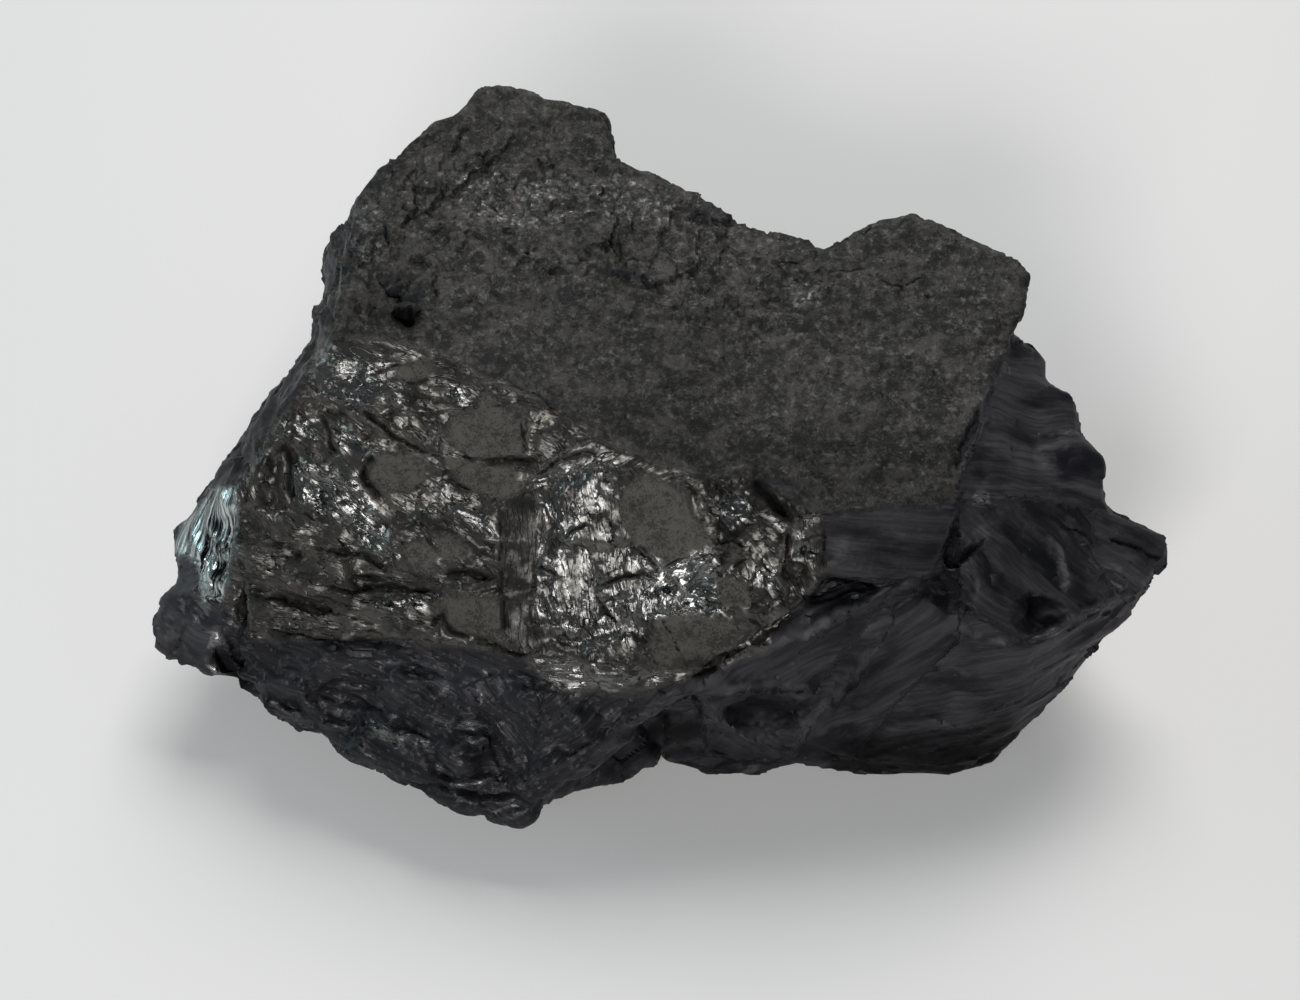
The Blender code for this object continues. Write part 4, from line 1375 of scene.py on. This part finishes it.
    def thinned(self, mesh: bpy.types.Mesh) -> bpy.types.Mesh:
        """The same surface with no more than the piece's triangles.

        They stay where it bends and round the flat plates, and go first underneath.  Each
        point's weight says how freely they may go, in steps from 0 to 1.
        """
        triangles = sum(len(face.vertices) - 2 for face in mesh.polygons)
        skin = self.read(mesh)
        plates = skin.plates(SOFT.round_plate)
        spare = (self.spare + self.spare_behind * (1.0 - skin.seen)) * (1.0 - plates)
        spare = np.round(spare * self.spare_steps) / self.spare_steps
        holder = self.carrier(mesh)
        group = holder.vertex_groups.new(name="spare")
        for weight in np.unique(spare[spare > 0.0]):
            group.add(np.flatnonzero(spare == weight).tolist(), float(weight), "REPLACE")
        thin = holder.modifiers.new("thin", "DECIMATE")
        thin.ratio = min(1.0, self.most_triangles / triangles)
        thin.use_collapse_triangulate = True
        thin.vertex_group = group.name
        thin.vertex_group_factor = self.spare_factor
        return self.without_strays(self.evaluated(holder))

    @staticmethod
    def without_strays(mesh: bpy.types.Mesh) -> bpy.types.Mesh:
        """The same mesh without the doubled and the lone faces that thinning can leave."""
        mesh.validate()
        shape = bmesh.new()
        shape.from_mesh(mesh)
        lone = [face for face in shape.faces if all(edge.is_boundary for edge in face.edges)]
        bmesh.ops.delete(shape, geom=lone, context="FACES")
        shape.to_mesh(mesh)
        shape.free()
        return mesh

    def mark_bands(self, mesh: bpy.types.Mesh) -> None:
        """Stores each band's share and the grain's frame on the points, for the finish."""
        skin = self.read(mesh)
        for band, share in skin.bands().items():
            marked = mesh.attributes.new(band.value, "FLOAT", "POINT")
            marked.data.foreach_set("value", share.astype(np.float32))
        # The marked painted shade and light, with a little of the coal's own tone, go on the points as
        # well.
        painted_light_and_tone = mesh.attributes.new("painted_light_and_tone", "FLOAT", "POINT")
        painted_light_and_tone.data.foreach_set("value", skin.painted_light_and_tone().astype(np.float32))
        flow = mesh.attributes.new("flow", "FLOAT_VECTOR", "POINT")
        flow.data.foreach_set("vector", skin.grain().place.astype(np.float32).ravel())


# --------------------------------------------------------------------------- shader maths


class Sock:
    """A node's output with Python's operators, which add the Math nodes they need."""

    def __init__(self, nodes: "Nodes", socket: bpy.types.NodeSocket) -> None:
        """Wraps an output socket of a tree."""
        self.nodes = nodes
        self.socket = socket

    def _math(self, operation: str, *values: "Sock | float") -> "Sock":
        """A Math node's result for these values."""
        return self.nodes.add("ShaderNodeMath", {"operation": operation}, dict(enumerate(values)))

    def __add__(self, other: "Sock | float") -> "Sock":
        """self + other."""
        return self._math("ADD", self, other)

    __radd__ = __add__

    def __sub__(self, other: "Sock | float") -> "Sock":
        """self - other."""
        return self._math("SUBTRACT", self, other)

    def __rsub__(self, other: float) -> "Sock":
        """other - self."""
        return self._math("SUBTRACT", other, self)

    def __mul__(self, other: "Sock | float") -> "Sock":
        """self * other."""
        return self._math("MULTIPLY", self, other)

    __rmul__ = __mul__

    def __abs__(self) -> "Sock":
        """self without its sign."""
        return self._math("ABSOLUTE", self)

    def ramp(self, low: float, high: float) -> "Sock":
        """0 below low and 1 above high, with a smooth step between them."""
        return self.nodes.add(
            "ShaderNodeMapRange",
            {"interpolation_type": "SMOOTHSTEP"},
            {"Value": self, "From Min": low, "From Max": high},
        )


class Nodes:
    """Builds one material's node tree."""

    def __init__(self, name: str) -> None:
        """Starts a new material with only its output and its Principled shader."""
        self.material = bpy.data.materials.new(name)
        self.material.use_nodes = True
        self.tree = self.material.node_tree
        self.shader = self.tree.nodes["Principled BSDF"]

    def add(
        self,
        kind: str,
        settings: dict[str, object] | None = None,
        inputs: dict[int | str, object] | None = None,
        output: int | str = 0,
    ) -> Sock:
        """Adds a node.

        Args:
            kind: the node's type.
            settings: its properties, set before its sockets.
            inputs: a value or a Sock for each socket, by name or number.
            output: the output that is returned.

        Returns:
            That output, wrapped.
        """
        node = self.tree.nodes.new(kind)
        for name, value in (settings or {}).items():
            setattr(node, name, value)
        for key, value in (inputs or {}).items():
            if isinstance(value, Sock):
                self.tree.links.new(value.socket, node.inputs[key])
            else:
                node.inputs[key].default_value = value
        return Sock(self, node.outputs[output])

    def share(self, band: Band) -> Sock:
        """A band's share, as stored on the mesh."""
        return self.add("ShaderNodeAttribute", {"attribute_name": band.value}, output="Fac")

    def vector(self, operation: str, first: Sock, second: "Sock | Triple") -> Sock:
        """A Vector Math node's vector for two vectors."""
        return self.add("ShaderNodeVectorMath", {"operation": operation}, {0: first, 1: second})

    def scaled(self, vector: Sock, factor: "Sock | float") -> Sock:
        """A vector times a number."""
        return self.add("ShaderNodeVectorMath", {"operation": "SCALE"}, {0: vector, "Scale": factor})

    def mix(self, factor: Sock, first: object, second: object) -> Sock:
        """A colour between two colours."""
        settings = {"data_type": "RGBA", "clamp_factor": True}
        return self.add("ShaderNodeMix", settings, {0: factor, 6: first, 7: second}, output=2)

    def cells(self, place: Sock, scale: float) -> Sock:
        """A cell texture's colour, random for each cell."""
        return self.add("ShaderNodeTexVoronoi", None, {"Vector": place, "Scale": scale}, "Color")

    def feed(self, values: dict[str, object]) -> None:
        """Sets or links the Principled shader's own sockets."""
        for name, value in values.items():
            if isinstance(value, Sock):
                self.tree.links.new(value.socket, self.shader.inputs[name])
            else:
                self.shader.inputs[name].default_value = value


@dataclass(frozen=True)
class Speckle:
    """One of the finish's noises: how fine it is, its detail, its roughness and its stretch.

    The stretch is along, across and out of the grain.  Without one the noise is even.
    """

    scale: float
    detail: float
    rough: float
    stretch: Triple | None = None


FINE = Speckle(1.6, 5.0, 0.6)
GRIT = Speckle(4.5, 3.0, 0.6)
PATCH = Speckle(0.35, 4.0, 0.6)
MOTTLE = Speckle(1.2, 5.0, 0.74)
STREAK = Speckle(1.0, 4.0, 0.58, (0.20, 1.2, 1.2))
COMB = Speckle(1.0, 3.0, 0.6, (0.12, 2.4, 0.5))
PLANES = Speckle(1.0, 4.0, 0.6, (0.05, 0.30, 0.30))
VEINS = Speckle(1.0, 2.0, 0.5, (0.18, 0.95, 0.6))
VEIN_WIDTH = 0.022
SPARK_CELLS = 2.3
SMALL_CRYSTALS = 3.4
LONG_CRYSTALS = (0.8, 2.2, 2.2)


@dataclass
class Patterns:
    """The coordinates, shares and noises that the coal's colour, gloss and relief have in common."""

    nodes: Nodes
    place: Sock = field(init=False)
    flow: Sock = field(init=False)
    share: dict[Band, Sock] = field(init=False)
    fine: Sock = field(init=False)
    grit: Sock = field(init=False)
    patch: Sock = field(init=False)
    streak: Sock = field(init=False)
    comb: Sock = field(init=False)
    planes: Sock = field(init=False)
    veins: Sock = field(init=False)
    shine: Sock = field(init=False)
    gloss: Sock = field(init=False)
    painted_light_and_tone: Sock = field(init=False)
    mottle: Sock = field(init=False)

    def __post_init__(self) -> None:
        """Adds the shared nodes.

        The veins are thin lines where a noise drawn out along the grain crosses its
        middle: 0 on the line and 1 past its edge.  The gloss is the crystal areas' share
        plus a noise about its middle, which breaks them up, and sparks: single cells that
        come out bright, in the mottle's light parts.
        """
        nodes = self.nodes
        self.place = nodes.scaled(nodes.add("ShaderNodeTexCoord", output="Object"), 1.0 / MM)
        self.flow = nodes.add("ShaderNodeAttribute", {"attribute_name": "flow"}, output="Vector")
        self.share = {band: nodes.share(band) for band in Band}
        self.fine = self.noise(FINE)
        self.grit = self.noise(GRIT)
        self.patch = self.noise(PATCH)
        self.streak = self.noise(STREAK)
        self.comb = self.noise(COMB)
        self.planes = self.noise(PLANES).ramp(0.38, 0.60)
        self.veins = abs(self.noise(VEINS) - 0.5).ramp(0.0, VEIN_WIDTH)
        self.shine = self.share[Band.BRIGHT] * (1.0 - self.share[Band.PLATE])
        # Painted shade and light from the marked areas, with a little of the coal's own tone.
        self.painted_light_and_tone = nodes.add("ShaderNodeAttribute", {"attribute_name": "painted_light_and_tone"}, output="Fac")
        self.mottle = self.noise(MOTTLE)
        dull = self.share[Band.DULL]
        pattern = self.streak + dull * (self.fine - self.streak)
        caught = self.share[Band.GLOSS] + 1.7 * (pattern - 0.5)
        sparkling = 0.35 * dull + 0.35 * self.share[Band.LAYERED] + 0.5 * self.shine
        sparks = nodes.cells(self.place, SPARK_CELLS).ramp(0.66, 0.74) * sparkling
        lit = caught.ramp(0.38, 0.90) + sparks * self.mottle.ramp(0.45, 0.60)
        self.gloss = lit * (1.0 - self.share[Band.PLATE])

    def drawn(self, scale: Triple) -> Sock:
        """The grain's coordinates, scaled along, across and out of it."""
        return self.nodes.vector("MULTIPLY", self.flow, scale)

    def noise(self, speckle: Speckle) -> Sock:
        """A noise's value, drawn out along the grain where it has a stretch."""
        values = {
            "Vector": self.drawn(speckle.stretch) if speckle.stretch else self.place,
            "Scale": speckle.scale,
            "Detail": speckle.detail,
            "Roughness": speckle.rough,
        }
        return self.nodes.add("ShaderNodeTexNoise", None, values)


@dataclass(frozen=True)
class CoalFinish:
    """The lump's one finish, which turns from glossy to silky to dull with its bands."""

    dark: Colour = (0.008, 0.008, 0.011, 1.0)
    silky: Colour = (0.034, 0.0333, 0.0368, 1.0)
    # Paler colour painted along the silky crests as a painted highlight.
    painted_crest_highlight: Colour = (0.055, 0.055, 0.062, 1.0)
    layered: Colour = (0.023, 0.023, 0.027, 1.0)
    bright: Colour = (0.080, 0.076, 0.069, 1.0)
    bright_dark: Colour = (0.036, 0.034, 0.033, 1.0)
    gloss: Colour = (0.138, 0.138, 0.135, 1.0)
    plate: Colour = (0.066, 0.060, 0.051, 1.0)
    plate_dark: Colour = (0.016, 0.015, 0.013, 1.0)
    # The left facet's pale cyan colour, with much metal, is a painted reflection of the cool window on
    # the left.
    facet: Colour = (0.50, 0.56, 0.56, 1.0)
    dull_dark: Colour = (0.010, 0.010, 0.010, 1.0)
    dull_light: Colour = (0.043, 0.041, 0.037, 1.0)
    dull_fleck: Colour = (0.085, 0.085, 0.082, 1.0)
    groove: Colour = (0.004, 0.004, 0.005, 1.0)
    bright_metal: float = 0.75
    layered_metal: float = 0.35
    facet_metal: float = 0.90
    shaded_metal: float = 0.95
    silky_shade: float = 0.48
    layered_shade: float = 0.30
    # How far areas marked darker, mostly painted shade, take on metal, and how strongly painted shade
    # and light scale the colour.
    painted_shade_and_tone_metal: float = 0.60
    painted_light_and_tone_strength: float = 0.95
    fleck_strength: float = 0.80
    vein_strength: float = 0.75
    layered_veins: float = 0.40
    grit_polish: float = 0.30
    bright_roughness: float = 0.33
    gloss_roughness: float = 0.26
    plate_roughness: float = 0.46
    layered_roughness: float = 0.42
    silky_roughness: float = 0.50
    dull_roughness: float = 0.55
    facet_roughness: float = 0.24
    groove_roughness: float = 0.9
    refraction: float = 1.30
    bump_strength: float = 0.6
    bump_metres: float = 0.0003

    def material(self) -> bpy.types.Material:
        """Builds the material.

        Metal stands for a mirror-like break: it takes the place of the pale scattered
        light, so a dark base with much metal stays dark except where it mirrors a lamp.
        """
        nodes = Nodes("coal")
        seen = Patterns(nodes)
        keep = 1.0 - seen.share[Band.GROOVE_AND_PIT_SHADE].ramp(0.25, 0.8)
        metal = seen.shine * self.bright_metal
        metal = metal + seen.share[Band.LAYERED] * (self.layered_metal - metal)
        metal = metal + seen.share[Band.FACET] * (self.facet_metal - metal)
        shaded = self.silky_shade * seen.share[Band.SILKY]
        shaded = (shaded + self.layered_shade * seen.share[Band.LAYERED]) * (1.0 - seen.planes)
        metal = metal + shaded * (self.shaded_metal - metal)
        metal = (metal + seen.gloss * (1.0 - metal)) * keep
        # Painted shade: where an area is marked darker than its band, mostly in hollows, metal takes the
        # place of its pale scattered light.
        metal = metal + self.painted_shade_and_tone_metal * seen.painted_light_and_tone.ramp(-0.1, -0.9) * (self.shaded_metal - metal)
        nodes.feed(
            {
                "Base Color": self.colour(nodes, seen),
                "Metallic": metal,
                "Roughness": self.roughness(seen),
                "IOR": self.refraction,
                "Normal": self.normal(nodes, seen),
            }
        )
        return nodes.material

    def colour(self, nodes: Nodes, seen: Patterns) -> Sock:
        """The base colour: each band's own, mottled and veined, darkest in cracks, with painted shade in
        deep pits, painted highlights on the silky crests, painted shade and light from the marked areas,
        and a painted reflection on the left facet.
        """
        share = seen.share
        mottle = seen.mottle + 0.75 * (seen.patch - 0.5)
        dull = nodes.mix(mottle.ramp(0.40, 0.64), self.dull_dark, self.dull_light)
        fleck = seen.grit.ramp(0.54, 0.66) * seen.mottle.ramp(0.46, 0.58)
        dull = nodes.mix(self.fleck_strength * fleck, dull, self.dull_fleck)
        lines = 0.35 + 0.65 * seen.comb.ramp(0.38, 0.66)
        silky = nodes.mix(lines * seen.planes, self.dark, self.silky)
        # Painted highlight: the silky crests' lines turn paler, as where ridges catch the light.
        silky = nodes.mix(share[Band.PAINTED_CREST_HIGHLIGHT].ramp(0.3, 0.9) * (0.4 + 0.6 * seen.fine), silky, self.painted_crest_highlight)
        shade = nodes.mix(share[Band.DULL], silky, dull)
        layered = nodes.mix(seen.comb.ramp(0.35, 0.7), self.dark, self.layered)
        shade = nodes.mix(share[Band.LAYERED], shade, layered)
        bright = nodes.mix(seen.patch.ramp(0.35, 0.62), self.bright_dark, self.bright)
        shade = nodes.mix(seen.shine, shade, bright)
        grained = 0.5 * seen.mottle + 0.5 * seen.grit + 0.4 * (seen.patch - 0.5)
        plate = nodes.mix(grained.ramp(0.39, 0.56), self.plate_dark, self.plate)
        shade = nodes.mix(share[Band.PLATE] * seen.fine.ramp(0.20, 0.50), shade, plate)
        shade = nodes.mix(seen.gloss, shade, self.gloss)
        veined = seen.shine + self.layered_veins * share[Band.LAYERED]
        veined = (1.0 - seen.veins) * self.vein_strength * veined
        shade = nodes.mix(veined, shade, self.groove)
        # Painted shade and light: marked areas scale the colour darker in hollows and paler on faces
        # turned to the lamps; the fibrous band's darkening is its own tone.
        shade = nodes.scaled(shade, 1.0 + self.painted_light_and_tone_strength * seen.painted_light_and_tone)
        # Painted reflection: the left facet takes a pale cyan colour that stands for the cool window
        # mirrored in it.
        facet = nodes.mix(seen.comb.ramp(0.40, 0.62), self.dark, self.facet)
        shade = nodes.mix(share[Band.FACET], shade, facet)
        # Darkest in cracks, and painted shade in deep pits.
        return nodes.mix(share[Band.GROOVE_AND_PIT_SHADE].ramp(0.2, 0.8), shade, self.groove)

    def roughness(self, seen: Patterns) -> Sock:
        """The roughness: each band's own, varied, with sparks of clean crystal on the slab."""
        share = seen.share
        uneven = 0.25 * (seen.fine - 0.5)
        value = self.silky_roughness + uneven
        value = value + share[Band.DULL] * (self.dull_roughness - self.silky_roughness)
        value = value - share[Band.DULL] * self.grit_polish * seen.grit.ramp(0.60, 0.68)
        value = value + share[Band.LAYERED] * (self.layered_roughness + uneven - value)
        value = value + seen.shine * (self.bright_roughness + uneven - value)
        value = value + share[Band.PLATE] * (self.plate_roughness - value)
        value = value + share[Band.FACET] * (self.facet_roughness - value)
        value = value + seen.gloss * (self.gloss_roughness - value)
        return value + share[Band.GROOVE_AND_PIT_SHADE] * (self.groove_roughness - value)

    def normal(self, nodes: Nodes, seen: Patterns) -> Sock:
        """The shading normal: small tilted crystals, then fibres, veins and grain as bumps.

        A crystal's tilt is its cell's random colour about an even grey, times how far
        each kind of coal lets it tilt.
        """
        share = seen.share
        flat = nodes.add("ShaderNodeNewGeometry", output="Normal")
        even = (0.5, 0.5, 0.5)
        long = nodes.vector("SUBTRACT", nodes.cells(seen.drawn(LONG_CRYSTALS), 1.0), even)
        small = nodes.vector("SUBTRACT", nodes.cells(seen.place, SMALL_CRYSTALS), even)
        facets = 0.10 * seen.shine + 0.08 * seen.gloss
        facets = facets + 0.06 * share[Band.LAYERED] + 0.04 * share[Band.DULL]
        grains = 0.07 * seen.shine + 0.05 * seen.gloss
        grains = grains + 0.16 * share[Band.DULL] + 0.12 * share[Band.PLATE] + 0.03
        tilted = nodes.vector("ADD", flat, nodes.scaled(long, facets))
        tilted = nodes.vector("ADD", tilted, nodes.scaled(small, grains))
        tilted = nodes.add("ShaderNodeVectorMath", {"operation": "NORMALIZE"}, {0: tilted})

        height = share[Band.SILKY] * seen.comb * 0.35
        height = height + share[Band.LAYERED] * seen.comb * 0.6
        height = height + share[Band.FACET] * seen.comb * 0.5
        height = height + seen.shine * (seen.streak * 0.5 + seen.veins * 0.16)
        height = height + share[Band.DULL] * seen.fine * 0.9
        height = height + share[Band.PLATE] * seen.mottle * 0.8
        height = height + 0.25 * seen.fine
        strength = {"Strength": self.bump_strength, "Distance": self.bump_metres}
        return nodes.add("ShaderNodeBump", None, strength | {"Height": height, "Normal": tilted})


# --------------------------------------------------------------------------- the studio


@dataclass
class Studio:
    """A pale floor, soft lights, the camera and the colour view."""

    sight: Sight
    floor_side: float = 4.0
    floor_colour: Colour = (0.74, 0.735, 0.735, 1.0)
    floor_roughness: float = 0.55
    floor_refraction: float = 1.4
    air: Triple = (0.82, 0.90, 1.0)
    air_strength: float = 0.14

    def build(self) -> None:
        """Makes the floor, the lights, the air, the camera and the view."""
        self.floor()
        for lamp in LAMPS:
            lamp.set_up()
        self.fill_air()
        self.sight.set_up()
        view = bpy.context.scene.view_settings
        view.view_transform = "Standard"
        view.look = "None"
        LOG.info("studio: %d lamps", len(LAMPS))

    def floor(self) -> None:
        """A plain square floor at the lump's foot."""
        half = self.floor_side / 2.0
        corners = [(-half, -half, 0.0), (half, -half, 0.0), (half, half, 0.0), (-half, half, 0.0)]
        mesh = bpy.data.meshes.new("floor")
        mesh.from_pydata(corners, [], [(0, 1, 2, 3)])
        nodes = Nodes("pale_floor")
        nodes.feed(
            {
                "Base Color": self.floor_colour,
                "Roughness": self.floor_roughness,
                "IOR": self.floor_refraction,
            }
        )
        mesh.materials.append(nodes.material)
        floor = bpy.data.objects.new("floor", mesh)
        bpy.context.scene.collection.objects.link(floor)

    def fill_air(self) -> None:
        """Even, faint light from all round."""
        world = bpy.data.worlds.new("air")
        world.use_nodes = True
        background = world.node_tree.nodes["Background"]
        background.inputs["Color"].default_value = (*self.air, 1.0)
        background.inputs["Strength"].default_value = self.air_strength
        bpy.context.scene.world = world


def main() -> None:
    """Builds the studio and the lump."""
    logging.basicConfig(level=logging.INFO, format="%(name)s: %(message)s")
    sight = Sight()
    Studio(sight).build()
    CoalLump(sight).build()


if __name__ == "__main__":
    main()
